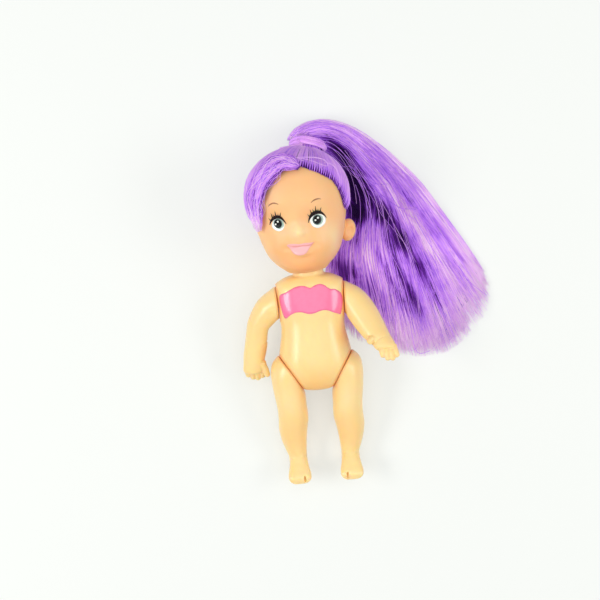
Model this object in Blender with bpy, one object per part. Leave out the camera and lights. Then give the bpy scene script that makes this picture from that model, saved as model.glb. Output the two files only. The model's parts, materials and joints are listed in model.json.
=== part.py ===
"""A small jointed toy doll with a rooted side ponytail, lying on its back.

The body is two welded half shells. Arms, legs and head are push-fitted on
mushroom-headed plugs, so each of them turns. The hair is a cap of rooted
strands, a lock swept over one temple, an elastic, a lock wound round it, and
the ponytail, which fans out over the surface that the doll lies on.

Body frame: X to the doll's left, Y up the body, Z to the doll's front, with
the origin at the base of the neck. The row frame has +Z up from the table.
"""

import math

import bmesh
import bpy
from mathutils import Matrix, Vector

MM = 0.001
RIGHT, LEFT = -1, 1

# Running gaps between pieces and the overrun that lets cutters reach through
gap = 0.3 * MM
seam_gap = 0.1 * MM
overrun = 2.0 * MM

# Body shell: two hollow halves that meet on the plane through both sides
torso_length = 42.3 * MM
torso_half_width = 13.4 * MM
torso_half_depth = 10.4 * MM
torso_wall = 1.3 * MM
torso_lid = 3.0 * MM
torso_floor = 1.4 * MM
joint_wall = 1.7 * MM
# down the length, half width, front depth, back depth
torso_shares = (
    (-0.036, 0.400, 0.515, 0.515),
    (0.014, 0.418, 0.540, 0.540),
    (0.022, 0.520, 0.560, 0.560),
    (0.045, 0.730, 0.630, 0.620),
    (0.095, 0.950, 0.740, 0.720),
    (0.190, 1.020, 0.810, 0.790),
    (0.300, 1.000, 0.835, 0.815),
    (0.390, 0.880, 0.845, 0.820),
    (0.450, 0.850, 0.860, 0.830),
    (0.520, 0.868, 0.890, 0.850),
    (0.600, 0.918, 0.930, 0.890),
    (0.700, 0.975, 0.960, 0.945),
    (0.780, 1.000, 0.950, 0.970),
    (0.850, 0.970, 0.910, 0.970),
    (0.910, 0.850, 0.850, 0.930),
    (0.960, 0.620, 0.730, 0.830),
    (0.988, 0.440, 0.590, 0.700),
    (1.000, 0.300, 0.430, 0.540),
)
torso_squareness = 2.15

# Weld pins between the body halves
weld_pin_radius = 0.9 * MM
weld_boss_radius = 1.6 * MM
weld_pin_length = 1.8 * MM
weld_boss_reach_share = 0.88
# across the half width, down the length
weld_pin_shares = ((-0.30, 0.24), (0.30, 0.24), (-0.30, 0.62), (0.30, 0.62))

# Shoulders: flat discs cut into the sides of the body
shoulder_across = 11.75 * MM
shoulder_drop = 10.0 * MM
shoulder_pocket = 6.5 * MM
shoulder_slant = math.radians(2.5)

# Hips: flat discs that slope in towards the crotch
hip_across = 9.1 * MM
hip_drop = 35.75 * MM
hip_slant = math.radians(31.8)
hip_forward_turn = math.radians(4.5)

# Plugs that hold the limbs and the head
arm_plug_radius = 2.0 * MM
leg_plug_radius = 2.4 * MM
plug_head_overhang = 1.5 * MM
plug_head_height = 1.6 * MM
plug_depth = 5.0 * MM
neck_radius = 3.6 * MM
neck_knob_radius = 4.8 * MM
neck_knob_height = 3.6 * MM
neck_flange_radius = 5.4 * MM
neck_flange_height = 1.2 * MM
# knob's outline from the top: share of its radius, share of its height
neck_knob_shares = ((0.34, 1.00), (0.71, 0.82), (1.00, 0.35), (1.00, 0.10))
# plug's tip as shares of its radius, its head as shares of its height and radius
plug_tip_share = 0.80
plug_tip_bevel_share = 0.20
plug_rim_share = 0.45
plug_crown_share = 0.90

# Arms: outline in the arm's own plane, as shares of the arm's length
arm_length = 28.8 * MM
# outer across, outer up, inner across, inner up, half depth, forward shift
right_arm_shares = (
    (-0.100, 0.205, -0.100, -0.205, 0.205, 0.000),
    (0.012, 0.203, 0.000, -0.205, 0.205, 0.000),
    (0.125, 0.135, 0.020, -0.215, 0.198, 0.000),
    (0.245, 0.045, 0.050, -0.245, 0.183, 0.000),
    (0.340, -0.095, 0.095, -0.288, 0.164, 0.000),
    (0.403, -0.235, 0.142, -0.338, 0.148, 0.003),
    (0.435, -0.380, 0.168, -0.430, 0.138, 0.012),
    (0.466, -0.535, 0.182, -0.555, 0.128, 0.030),
    (0.492, -0.655, 0.215, -0.675, 0.112, 0.048),
    (0.500, -0.740, 0.238, -0.750, 0.103, 0.062),
    (0.512, -0.845, 0.225, -0.840, 0.092, 0.078),
    (0.478, -0.885, 0.262, -0.880, 0.068, 0.080),
)
left_arm_shares = (
    (-0.100, 0.205, -0.100, -0.205, 0.205, 0.000),
    (0.012, 0.203, 0.000, -0.205, 0.205, 0.000),
    (0.125, 0.145, 0.014, -0.232, 0.198, 0.000),
    (0.240, 0.062, 0.030, -0.285, 0.180, 0.000),
    (0.345, -0.090, 0.062, -0.355, 0.162, 0.000),
    (0.425, -0.275, 0.112, -0.450, 0.146, 0.004),
    (0.478, -0.450, 0.168, -0.550, 0.128, 0.014),
    (0.515, -0.575, 0.232, -0.640, 0.112, 0.026),
    (0.545, -0.660, 0.285, -0.700, 0.100, 0.036),
    (0.572, -0.745, 0.318, -0.765, 0.088, 0.046),
    (0.562, -0.795, 0.372, -0.800, 0.066, 0.050),
)
# root across, up, forward; tip across, up, forward; root radius, tip radius
right_finger_shares = (
    (0.458, -0.820, 0.080, 0.452, -0.948, 0.058, 0.046, 0.036),
    (0.400, -0.830, 0.086, 0.396, -0.985, 0.060, 0.047, 0.036),
    (0.340, -0.830, 0.086, 0.338, -1.000, 0.060, 0.047, 0.036),
    (0.282, -0.820, 0.082, 0.282, -0.975, 0.058, 0.045, 0.035),
    (0.268, -0.740, 0.100, 0.206, -0.945, 0.125, 0.048, 0.038),
)
left_finger_shares = (
    (0.538, -0.745, 0.050, 0.575, -0.905, 0.036, 0.044, 0.034),
    (0.492, -0.755, 0.055, 0.520, -0.945, 0.038, 0.045, 0.034),
    (0.440, -0.755, 0.055, 0.458, -0.940, 0.038, 0.045, 0.034),
    (0.392, -0.740, 0.050, 0.400, -0.895, 0.036, 0.043, 0.033),
    (0.320, -0.610, 0.070, 0.236, -0.712, 0.108, 0.050, 0.040),
)
left_arm_raise = math.radians(36.0)
right_arm_raise = math.radians(-12.0)
# finger's outline: narrowing at the root, first knuckle, narrowing and rounding of the tip
finger_root_share = 0.70
finger_knuckle_share = 0.60
finger_tip_share = 0.60
finger_round_share = 0.25

# Legs: outline in the hip's plane of slope, as shares of the leg's length
leg_length = 40.2 * MM
# outer across, outer up, inner across, inner up, half depth, forward shift
leg_shares = (
    (0.038, 0.194, -0.164, -0.134, 0.189, 0.000),
    (0.102, 0.160, -0.099, -0.161, 0.189, 0.000),
    (0.168, 0.090, -0.104, -0.200, 0.178, 0.002),
    (0.188, -0.015, -0.108, -0.245, 0.166, 0.006),
    (0.178, -0.160, -0.109, -0.300, 0.154, 0.010),
    (0.158, -0.320, -0.113, -0.375, 0.143, 0.008),
    (0.156, -0.430, -0.112, -0.450, 0.134, -0.002),
    (0.161, -0.515, -0.098, -0.520, 0.126, -0.014),
    (0.148, -0.610, -0.084, -0.610, 0.118, -0.024),
    (0.122, -0.700, -0.075, -0.700, 0.104, -0.026),
    (0.094, -0.775, -0.070, -0.775, 0.092, -0.022),
    (0.092, -0.840, -0.072, -0.840, 0.090, -0.014),
    (0.078, -0.878, -0.060, -0.878, 0.072, -0.008),
)
leg_squareness = 2.1

# Feet: flat-soled, pointing down and forward
foot_length = 12.6 * MM
foot_half_width = 4.1 * MM
foot_height = 6.4 * MM
foot_point = math.radians(25.0)
# heel below and behind the hip's centre, as shares of the leg's length
heel_drop_share = 0.871
heel_back_share = 0.129
foot_across = 0.35 * MM
# along the sole, half width, height above the sole
foot_shares = (
    (0.000, 0.330, 0.300),
    (0.035, 0.520, 0.520),
    (0.120, 0.720, 0.820),
    (0.260, 0.800, 1.000),
    (0.420, 0.820, 1.000),
    (0.580, 0.900, 0.800),
    (0.740, 1.000, 0.630),
    (0.880, 1.000, 0.520),
    (0.960, 0.850, 0.430),
    (1.000, 0.560, 0.300),
)
toe_cleft_width = 0.4 * MM
toe_cleft_depth = 1.3 * MM
toe_cleft_share = 0.42
toe_cleft_level_share = 0.50
toe_cleft_drop_share = 0.38
foot_squareness = 2.5
foot_section_middle_share = 0.50
foot_section_half_share = 0.58

# Head: hollow soft vinyl, with a recess below for the neck
head_height = 43.8 * MM
head_half_width = 17.3 * MM
head_half_depth = 19.3 * MM
head_wall = 1.8 * MM
head_floor_level = 4.0 * MM
recess_radius = 6.1 * MM
recess_level = 2.2 * MM
hollow_top_share = 0.938
# up the height, half width, front depth, back depth
head_shares = (
    (0.026, 0.405, 0.440, 0.405),
    (0.040, 0.440, 0.510, 0.440),
    (0.064, 0.500, 0.630, 0.520),
    (0.096, 0.590, 0.730, 0.630),
    (0.137, 0.676, 0.788, 0.715),
    (0.187, 0.757, 0.819, 0.793),
    (0.281, 0.838, 0.834, 0.891),
    (0.388, 0.913, 0.845, 0.953),
    (0.457, 0.954, 0.850, 0.979),
    (0.594, 1.000, 0.896, 1.000),
    (0.685, 0.994, 0.894, 0.995),
    (0.776, 0.925, 0.830, 0.922),
    (0.845, 0.821, 0.744, 0.808),
    (0.913, 0.636, 0.585, 0.632),
    (0.959, 0.434, 0.415, 0.440),
    (0.986, 0.231, 0.233, 0.233),
    (1.000, 0.030, 0.030, 0.030),
)
head_squareness = 2.06
head_centre_share = 0.50
head_roll = math.radians(3.3)
head_turn = math.radians(-5.0)

# Modelled features of the face: across, up, bump height, spread across, spread up
nose_height = 2.4 * MM
cheek_height = 1.2 * MM
chin_height = 0.9 * MM
lip_height = 0.8 * MM
eye_dish_depth = 0.5 * MM
brow_height = 0.4 * MM
face_size = 44.5 * MM
nose_shares = (0.000, 0.382, 0.044, 0.040)
cheek_shares = (0.195, 0.265, 0.105, 0.100)
chin_shares = (0.000, 0.110, 0.110, 0.055)
lip_shares = (0.000, 0.236, 0.090, 0.028)
eye_shares = (0.153, 0.458, 0.070, 0.060)
brow_shares = (0.164, 0.600, 0.110, 0.050)

# Ears
ear_height = 8.2 * MM
ear_width = 4.8 * MM
ear_thickness = 5.6 * MM
ear_level_share = 0.282
ear_back = 6.0 * MM
ear_stand_out = 1.1 * MM
ear_tuck = 2.9 * MM
ear_hollow_depth = 0.9 * MM
ear_hollow_share = 0.10
ear_lean = math.radians(14.0)

# Rooted hair: a ridged cap over the skull, with a tufted edge
hair_gap = 0.55 * MM
hair_thickness = 0.9 * MM
hair_ridge = 0.35 * MM
hair_strip_count = 27
hair_ring_count = 12
hair_edge_tuft = 0.5 * MM
hair_edge_lift_share = 0.45
hair_edge_share = 0.86
hair_start_share = 0.35
hair_ridge_rise_share = 0.25
# azimuth from the face in half turns, height of the hairline up the head
hairline_shares = (
    (0.000, 0.885),
    (0.100, 0.878),
    (0.190, 0.825),
    (0.300, 0.735),
    (0.395, 0.500),
    (0.440, 0.475),
    (0.660, 0.460),
    (0.720, 0.330),
    (0.800, 0.190),
    (1.000, 0.140),
)

# Ponytail root: where the elastic sits on the head, and its rings
tie_across = 5.5 * MM
tie_back = 12.4 * MM
tail_root_radius = 4.6 * MM
elastic_radius = 0.45 * MM
wrap_radius = 0.8 * MM
wrap_width_share = 1.8

# Lock swept from the parting over one temple: across, up, forward as shares of
# the head's height, and its width and thickness at each point
fringe_width = 9.0 * MM
fringe_thickness = 1.5 * MM
fringe_shares = (
    (0.068, 0.852, 0.310, 0.10, 0.20),
    (0.029, 0.885, 0.289, 0.50, 0.60),
    (-0.039, 0.909, 0.260, 0.92, 0.90),
    (-0.141, 0.876, 0.265, 1.00, 1.00),
    (-0.220, 0.798, 0.283, 0.92, 1.00),
    (-0.274, 0.717, 0.277, 0.92, 1.00),
    (-0.295, 0.633, 0.271, 0.90, 1.00),
    (-0.297, 0.550, 0.258, 0.80, 0.90),
    (-0.290, 0.490, 0.256, 0.50, 0.70),
    (-0.283, 0.450, 0.256, 0.12, 0.30),
)

# Ponytail: a fan of locks laid on the table, as shares of its length measured
# from the tie: outer edge x, y; inner edge x, y; then, as shares of the root's
# height, the top, the edges and the underside
tail_length = 100.0 * MM
tail_under_gap = 0.15 * MM
tail_lock_ridge = 0.7 * MM
tail_lock_count = 6
tail_height = 20.0 * MM
tail_flare_share = 0.35
tail_shares = (
    (-0.066, 0.053, 0.075, 0.026, 0.800, 0.500, 0.160),
    (-0.046, 0.082, 0.080, 0.016, 0.850, 0.400, 0.060),
    (0.001, 0.109, 0.084, -0.004, 0.800, 0.300, 0.015),
    (0.069, 0.117, 0.087, -0.027, 0.740, 0.230, 0.000),
    (0.141, 0.098, 0.092, -0.054, 0.680, 0.170, 0.000),
    (0.204, 0.062, 0.098, -0.087, 0.590, 0.120, 0.000),
    (0.273, 0.003, 0.109, -0.136, 0.500, 0.080, 0.000),
    (0.339, -0.065, 0.111, -0.184, 0.450, 0.070, 0.000),
    (0.403, -0.141, 0.107, -0.239, 0.420, 0.060, 0.000),
    (0.464, -0.233, 0.095, -0.304, 0.400, 0.060, 0.000),
    (0.513, -0.324, 0.077, -0.367, 0.380, 0.060, 0.000),
    (0.553, -0.417, 0.063, -0.431, 0.360, 0.060, 0.000),
    (0.581, -0.499, 0.069, -0.509, 0.330, 0.055, 0.000),
    (0.595, -0.569, 0.093, -0.589, 0.290, 0.055, 0.000),
    (0.563, -0.631, 0.136, -0.647, 0.240, 0.050, 0.000),
    (0.506, -0.687, 0.191, -0.689, 0.180, 0.045, 0.000),
    (0.441, -0.731, 0.271, -0.721, 0.120, 0.040, 0.000),
)
tail_tip_share = (0.361, -0.751)
tail_inner_share = 0.55
tail_swell_power = 0.6

# Facet counts
body_sides = 26
limb_sides = 16
head_sides = 36
plug_sides = 14
finger_sides = 7
ring_sides = 6
ring_turns = 20
tail_sides = 26
head_front_density = 0.45
hollow_sides = 20
recess_sides = 24
ear_sides = 12
ear_levels = 8
fringe_sides = 10
round_section = 2.0
crease_angle = math.radians(40.0)
steepest_recline = math.radians(30.0)
search_steps = 40

# Colours, linear, with roughness
skin_colour = (0.98, 0.66, 0.31)
head_colour = (0.98, 0.56, 0.30)
plug_colour = (0.90, 0.62, 0.36)
hair_colour = (0.36, 0.17, 0.72)
light_hair_colour = (0.62, 0.38, 0.90)
elastic_colour = (0.30, 0.12, 0.60)
skin_roughness = 0.28
vinyl_roughness = 0.42
hair_roughness = 0.45
elastic_roughness = 0.60


def vector(x, y, z):
    return Vector((x, y, z))


def remove_everything():
    for item in list(bpy.data.objects):
        bpy.data.objects.remove(item)


def finish_of(name, colour, roughness):
    """One Principled material, shared by the pieces of one colour."""
    found = bpy.data.materials.get(name)
    if found:
        return found
    made = bpy.data.materials.new(name)
    made.use_nodes = True
    shader = made.node_tree.nodes["Principled BSDF"]
    shader.inputs["Base Color"].default_value = (*colour, 1.0)
    shader.inputs["Roughness"].default_value = roughness
    shader.inputs["Metallic"].default_value = 0.0
    made.diffuse_color = (*colour, 1.0)
    return made


def empty(name, parent, matrix):
    """An unseen frame that pieces hang from."""
    made = bpy.data.objects.new(name, None)
    bpy.context.scene.collection.objects.link(made)
    made.parent = parent
    made.matrix_local = matrix
    return made


def piece(name, shape, parent, finish):
    """Turn a bmesh into a named object under its parent frame."""
    bmesh.ops.recalc_face_normals(shape, faces=shape.faces[:])
    mesh = bpy.data.meshes.new(name)
    shape.to_mesh(mesh)
    shape.free()
    mesh.shade_smooth()
    mesh.set_sharp_from_angle(angle=crease_angle)
    made = bpy.data.objects.new(name, mesh)
    bpy.context.scene.collection.objects.link(made)
    made.parent = parent
    if finish:
        mesh.materials.append(finish)
    return made


def guide(name, shape, parent):
    """A shape that only cuts or adds to others."""
    made = piece(name, shape, parent, None)
    made.hide_render = True
    made.display_type = "WIRE"
    return made


def combine(target, tool, operation):
    """Cut the tool out of the target, or add it on."""
    change = target.modifiers.new(tool.name, "BOOLEAN")
    change.operation = operation
    change.solver = "EXACT"
    change.object = tool


def smooth_rows(rows, steps):
    """Catmull-Rom rows between the rows of a table."""
    result = []
    last = len(rows) - 1
    for index in range(last):
        before = rows[max(index - 1, 0)]
        start, end = rows[index], rows[index + 1]
        after = rows[min(index + 2, last)]
        for step in range(steps):
            t = step / steps
            result.append(tuple(
                0.5 * (2 * b + (c - a) * t + (2 * a - 5 * b + 4 * c - d) * t * t
                       + (3 * b - a - 3 * c + d) * t ** 3)
                for a, b, c, d in zip(before, start, end, after)))
    result.append(tuple(rows[-1]))
    return result


def row_at(rows, place):
    """The row of a table at a given first value, read between its neighbours."""
    if place <= rows[0][0]:
        return rows[0]
    for low, high in zip(rows, rows[1:]):
        if place <= high[0]:
            t = (place - low[0]) / (high[0] - low[0])
            return tuple(a + (b - a) * t for a, b in zip(low, high))
    return rows[-1]


def unit_ring(sides, squareness, density=0):
    """Points of a slightly squared unit circle, closer together at the front."""
    points = []
    for index in range(sides):
        turn = 2 * math.pi * index / sides
        angle = turn + density * math.cos(turn)
        across, deep = math.cos(angle), math.sin(angle)
        points.append((
            math.copysign(abs(across) ** (2 / squareness), across),
            math.copysign(abs(deep) ** (2 / squareness), deep)))
    return points


def skin(rings, start_tip=None, end_tip=None):
    """A closed surface through rings of points, with flat or pointed ends."""
    shape = bmesh.new()
    loops = [[shape.verts.new(point) for point in ring] for ring in rings]
    count = len(rings[0])
    for low, high in zip(loops, loops[1:]):
        for index in range(count):
            following = (index + 1) % count
            shape.faces.new((low[index], low[following], high[following], high[index]))
    for loop, tip in ((loops[0], start_tip), (loops[-1], end_tip)):
        if tip is None:
            shape.faces.new(loop)
            continue
        point = shape.verts.new(tip)
        for index in range(count):
            shape.faces.new((loop[index], loop[(index + 1) % count], point))
    return shape


def turned(profile, sides):
    """A solid turned about +Z from (radius, height) points, top to bottom."""
    rings = []
    for radius, height in profile:
        rings.append([
            vector(radius * math.cos(2 * math.pi * index / sides),
                   radius * math.sin(2 * math.pi * index / sides), height)
            for index in range(sides)])
    return skin(rings)


def bar(radius, start, end, sides):
    """A round bar along +Z."""
    return turned(((radius, end), (radius, start)), sides)


def block(low, high):
    """A box between two corners."""
    shape = bmesh.new()
    bmesh.ops.create_cube(shape, size=1.0)
    centre, span = (low + high) / 2, high - low
    for corner in shape.verts:
        corner.co = vector(*(c + s * v for c, s, v in zip(centre, span, corner.co)))
    return shape


def half_space(name, parent, level, reach):
    """A guide block that fills one side of the parent's XY plane, from a level up."""
    return guide(name, block(vector(-reach, -reach, level),
                             vector(reach, reach, level + reach)), parent)


def frame_matrix(origin, outward, forward):
    """A frame with +Z outward and +Y as near to forward as it can be."""
    z_axis = outward.normalized()
    x_axis = forward.cross(z_axis).normalized()
    y_axis = z_axis.cross(x_axis)
    matrix = Matrix((x_axis, y_axis, z_axis)).transposed().to_4x4()
    matrix.translation = origin
    return matrix


def shoulder_matrix(side):
    outward = vector(side * math.cos(shoulder_slant), -math.sin(shoulder_slant), 0)
    return frame_matrix(vector(side * shoulder_across, -shoulder_drop, 0),
                        outward, vector(0, 0, 1))


def hip_matrix(side):
    flat = math.cos(hip_forward_turn)
    outward = vector(side * math.cos(hip_slant) * flat, -math.sin(hip_slant) * flat,
                     math.sin(hip_forward_turn))
    return frame_matrix(vector(side * hip_across, -hip_drop, 0), outward, vector(0, 0, 1))


def torso_ring(row, inset):
    """One level of the body's section, drawn in from the outside by an inset."""
    down, wide, front, back = row
    return [
        vector(across * (wide * torso_half_width - inset), -down * torso_length,
               deep * ((front if deep > 0 else back) * torso_half_depth - inset))
        for across, deep in unit_ring(body_sides, torso_squareness)]


def torso_solid():
    return skin([torso_ring(row, 0) for row in torso_shares])


def torso_hollow():
    first = torso_lid / torso_length
    last = 1 - torso_floor / torso_length
    levels = [first] + [row[0] for row in torso_shares if first < row[0] < last] + [last]
    return skin([torso_ring(row_at(torso_shares, level), torso_wall) for level in levels])


def standing(origin):
    """A frame whose +Z runs up the body, for turned pieces on the neck."""
    return frame_matrix(origin, vector(0, 1, 0), vector(0, 0, 1))


def make_torso(doll, joints, finish):
    """Two half shells, cut by the flats that the limbs turn against."""
    reach = torso_length
    hollow = guide("body_hollow", torso_hollow(), doll)
    outer_cuts = []
    for label, joint in joints.items():
        wide = shoulder_pocket if "shoulder" in label else reach
        outer_cuts.append(half_space(label + "_flat", joint, 0, wide))
        combine(hollow, half_space(label + "_inner_flat", joint, -joint_wall, wide),
                "DIFFERENCE")
    neck_frame = empty("neck_bore_frame", doll, standing(vector(0, 0, 0)))
    bores = [guide("neck_bore", bar(neck_radius + gap, -torso_lid - overrun,
                                    torso_lid, plug_sides), neck_frame)]
    for label, joint in joints.items():
        radius = arm_plug_radius if "shoulder" in label else leg_plug_radius
        bores.append(guide(label + "_bore", bar(radius + gap, -joint_wall - overrun,
                                                overrun, plug_sides), joint))
    halves = {}
    for name, facing in (("front_body_shell", 1), ("back_body_shell", -1)):
        half = piece(name, torso_solid(), doll, finish)
        combine(half, hollow, "DIFFERENCE")
        for cut in outer_cuts:
            combine(half, cut, "DIFFERENCE")
        for bore in bores:
            combine(half, bore, "DIFFERENCE")
        seam = seam_gap / 2 * facing
        far = facing * reach
        other = block(vector(-reach, -2 * reach, min(seam, -far)),
                      vector(reach, reach, max(seam, -far)))
        combine(half, guide(name + "_far_side", other, doll), "DIFFERENCE")
        halves[facing] = half
    add_weld_pins(doll, halves)


def add_weld_pins(doll, halves):
    """Bosses inside both halves: pins on the front, sockets in the back."""
    for index, (across, down) in enumerate(weld_pin_shares):
        place = vector(across * torso_half_width, -down * torso_length, 0)
        spot = empty("weld_pin_frame_%d" % index, doll, Matrix.Translation(place))
        row = row_at(torso_shares, down)
        front_reach = row[2] * torso_half_depth * weld_boss_reach_share
        back_reach = row[3] * torso_half_depth * weld_boss_reach_share
        front_boss = guide("front_weld_boss_%d" % index,
                           bar(weld_boss_radius, seam_gap / 2, front_reach, plug_sides), spot)
        back_boss = guide("back_weld_boss_%d" % index,
                          bar(weld_boss_radius, -back_reach, -seam_gap / 2, plug_sides), spot)
        pin = guide("weld_pin_%d" % index,
                    bar(weld_pin_radius, -weld_pin_length, weld_pin_length, plug_sides), spot)
        socket = guide("weld_socket_%d" % index,
                       bar(weld_pin_radius + gap, -weld_pin_length - gap, overrun,
                           plug_sides), spot)
        combine(halves[1], front_boss, "UNION")
        combine(halves[1], pin, "UNION")
        combine(halves[-1], back_boss, "UNION")
        combine(halves[-1], socket, "DIFFERENCE")


def make_neck(doll, finish):
    """The plug between body and head: a flange, a shaft and a knob."""
    frame = empty("neck_frame", doll, standing(vector(0, 0, 0)))
    flange_top = -torso_lid - gap
    flange_bottom = flange_top - neck_flange_height
    knob_bottom = head_floor_level + gap
    profile = [(neck_knob_radius * wide, knob_bottom + neck_knob_height * up)
               for wide, up in neck_knob_shares]
    profile += [
        (neck_radius, knob_bottom),
        (neck_radius, flange_top),
        (neck_flange_radius, flange_top),
        (neck_flange_radius, flange_bottom),
    ]
    piece("neck_plug", turned(profile, plug_sides), frame, finish)


def make_limb_plug(name, joint, radius, finish):
    """A mushroom plug: its head inside the body's wall, its stem in the limb."""
    inner = -joint_wall - gap
    head = inner - plug_head_height
    tip = plug_depth - gap
    profile = (
        (radius * plug_tip_share, tip),
        (radius, tip - radius * plug_tip_bevel_share),
        (radius, inner),
        (radius + plug_head_overhang, inner),
        (radius + plug_head_overhang, inner - plug_head_height * plug_rim_share),
        (radius * plug_crown_share, head),
    )
    piece(name, turned(profile, plug_sides), joint, finish)


def rail_rings(rows, size, side, sides, squareness):
    """Sections strung between an outer and an inner edge line."""
    rings = []
    for outer_x, outer_y, inner_x, inner_y, depth, forward in rows:
        outer = vector(outer_x * side, outer_y, 0)
        inner = vector(inner_x * side, inner_y, 0)
        centre = (outer + inner) / 2 + vector(0, 0, forward)
        half = (outer - inner) / 2
        rings.append([
            (centre + half * across + vector(0, 0, depth * deep)) * size
            for across, deep in unit_ring(sides, squareness)])
    return rings


def finger_shape(row, size, side):
    """A tapered finger with a round tip."""
    root = vector(row[0] * side, row[1], row[2]) * size
    tip = vector(row[3] * side, row[4], row[5]) * size
    root_radius, tip_radius = row[6] * size, row[7] * size
    along = (tip - root).normalized()
    frame = frame_matrix(root, along, vector(0, 0, 1))
    span = (tip - root).length
    profile = (
        (root_radius * finger_root_share, 0),
        (root_radius, root_radius * finger_knuckle_share),
        (tip_radius, span - tip_radius),
        (tip_radius * finger_tip_share, span - tip_radius * finger_round_share),
    )
    rings = []
    for radius, height in profile:
        rings.append([
            frame @ vector(radius * math.cos(2 * math.pi * index / finger_sides),
                           radius * math.sin(2 * math.pi * index / finger_sides), height)
            for index in range(finger_sides)])
    return skin(rings, end_tip=tip)


def make_arm(name, doll, joint, side, rows, fingers, lift, finish):
    """One moulded arm with its hand, flat where it turns on the body."""
    centre = vector(side * shoulder_across, -shoulder_drop, 0)
    outward = joint.matrix_local.to_3x3().col[2]
    raised = Matrix.Rotation(lift, 4, -side * outward)
    frame = empty(name + "_frame", doll, Matrix.Translation(centre) @ raised)
    rings = rail_rings(smooth_rows(rows, 2), arm_length, side, limb_sides, round_section)
    arm = piece(name, skin(rings), frame, finish)
    for index, row in enumerate(fingers):
        finger = guide("%s_finger_%d" % (name, index), finger_shape(row, arm_length, side),
                       frame)
        combine(arm, finger, "UNION")
    combine(arm, half_space(name + "_inner_side", joint, gap / 2 - arm_length, arm_length),
            "DIFFERENCE")
    socket = guide(name + "_socket", bar(arm_plug_radius + gap, -overrun, plug_depth,
                                         plug_sides), joint)
    combine(arm, socket, "DIFFERENCE")


def foot_rings(side):
    """Sections from heel to toe, flat on the sole."""
    along = vector(0, -math.sin(foot_point), math.cos(foot_point))
    up = vector(0, math.cos(foot_point), math.sin(foot_point))
    heel = vector(side * foot_across, -heel_drop_share * leg_length,
                  -heel_back_share * leg_length)
    rings = []
    for share, wide, tall in foot_shares:
        centre = heel + along * (share * foot_length)
        ring = []
        for across, deep in unit_ring(limb_sides, foot_squareness):
            level = max(0, foot_section_middle_share + foot_section_half_share * deep)
            ring.append(centre + vector(across * wide * foot_half_width, 0, 0)
                        + up * (level * tall * foot_height))
        rings.append(ring)
    return rings, heel, along, up


def make_leg(name, doll, joint, side, finish):
    """One moulded leg with its foot, flat where it turns on the body."""
    frame = empty(name + "_frame", doll,
                  Matrix.Translation(vector(side * hip_across, -hip_drop, 0)))
    rings = rail_rings(smooth_rows(leg_shares, 2), leg_length, side, limb_sides,
                       leg_squareness)
    leg = piece(name, skin(rings), frame, finish)
    foot, heel, along, up = foot_rings(side)
    combine(leg, guide(name + "_foot", skin(foot), frame), "UNION")
    cleft_middle = heel + vector(-side * foot_half_width * toe_cleft_share, 0, 0) \
        + along * foot_length + up * (foot_height * toe_cleft_level_share)
    cleft_frame = empty(name + "_cleft_frame", frame, frame_matrix(cleft_middle, along, up))
    cleft_drop = foot_height * toe_cleft_drop_share
    cleft = block(vector(-toe_cleft_width / 2, -cleft_drop, -toe_cleft_depth),
                  vector(toe_cleft_width / 2, foot_height, toe_cleft_depth))
    combine(leg, guide(name + "_cleft", cleft, cleft_frame), "DIFFERENCE")
    combine(leg, half_space(name + "_inner_side", joint, gap / 2 - leg_length, leg_length),
            "DIFFERENCE")
    socket = guide(name + "_socket", bar(leg_plug_radius + gap, -overrun, plug_depth,
                                         plug_sides), joint)
    combine(leg, socket, "DIFFERENCE")
    return frame


def head_row(level):
    """The head's half width and depths at a level, from the smoothed table."""
    return row_at(fine_head_rows, level / head_height)


def bump(point, centre_shares, height, mirrored):
    """A smooth swelling of the face around one or two centres."""
    across, up, wide, tall = (share * face_size for share in centre_shares)
    total = 0
    for centre in ((across, -across) if mirrored else (across,)):
        total += height * math.exp(-((point.x - centre) / wide) ** 2
                                   - ((point.y - up) / tall) ** 2)
    return total


def face_relief(point):
    """How far the face stands out of the plain skull at a point."""
    if point.z <= 0:
        return 0
    relief = bump(point, nose_shares, nose_height, False)
    relief += bump(point, cheek_shares, cheek_height, True)
    relief += bump(point, chin_shares, chin_height, False)
    relief += bump(point, lip_shares, lip_height, False)
    relief += bump(point, brow_shares, brow_height, True)
    relief -= bump(point, eye_shares, eye_dish_depth, True)
    return relief * min(1, point.z / (head_half_depth / 2))


def head_ring(row, inset, sides, density=0):
    """One level of the head, drawn in by an inset."""
    up, wide, front, back = row
    return [
        vector(across * (wide * head_half_width - inset), up * head_height,
               deep * ((front if deep > 0 else back) * head_half_depth - inset))
        for across, deep in unit_ring(sides, head_squareness, density)]


def head_centre():
    return vector(0, head_height * head_centre_share, 0)


def with_relief(point):
    """Push a skull point out by the face's relief."""
    direction = (point - head_centre()).normalized()
    return point + direction * face_relief(point)


def skull_point(direction, lift):
    """Where a ray from the head's centre meets the skull, lifted off it."""
    centre = head_centre()
    near, far = 0, 2 * head_height
    for _ in range(search_steps):
        middle = (near + far) / 2
        spot = centre + direction * middle
        _, wide, front, back = head_row(spot.y)
        depth = (front if spot.z > 0 else back) * head_half_depth
        inside = 0 <= spot.y < head_height * head_shares[-1][0] and (
            abs(spot.x / (wide * head_half_width)) ** head_squareness
            + abs(spot.z / depth) ** head_squareness) < 1
        if inside:
            near = middle
        else:
            far = middle
    return centre + direction * (near + lift)


def ear_shape(side):
    """A rounded ear with a dished hollow."""
    shape = bmesh.new()
    bmesh.ops.create_uvsphere(shape, u_segments=ear_sides, v_segments=ear_levels, radius=0.5)
    for corner in shape.verts:
        x, y, z = corner.co
        dish = max(0, 1 - (y * y + z * z) / ear_hollow_share) if x * side > 0 else 0
        corner.co = vector(x * ear_thickness - side * dish * ear_hollow_depth,
                           y * ear_height, z * ear_width)
    return shape


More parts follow.
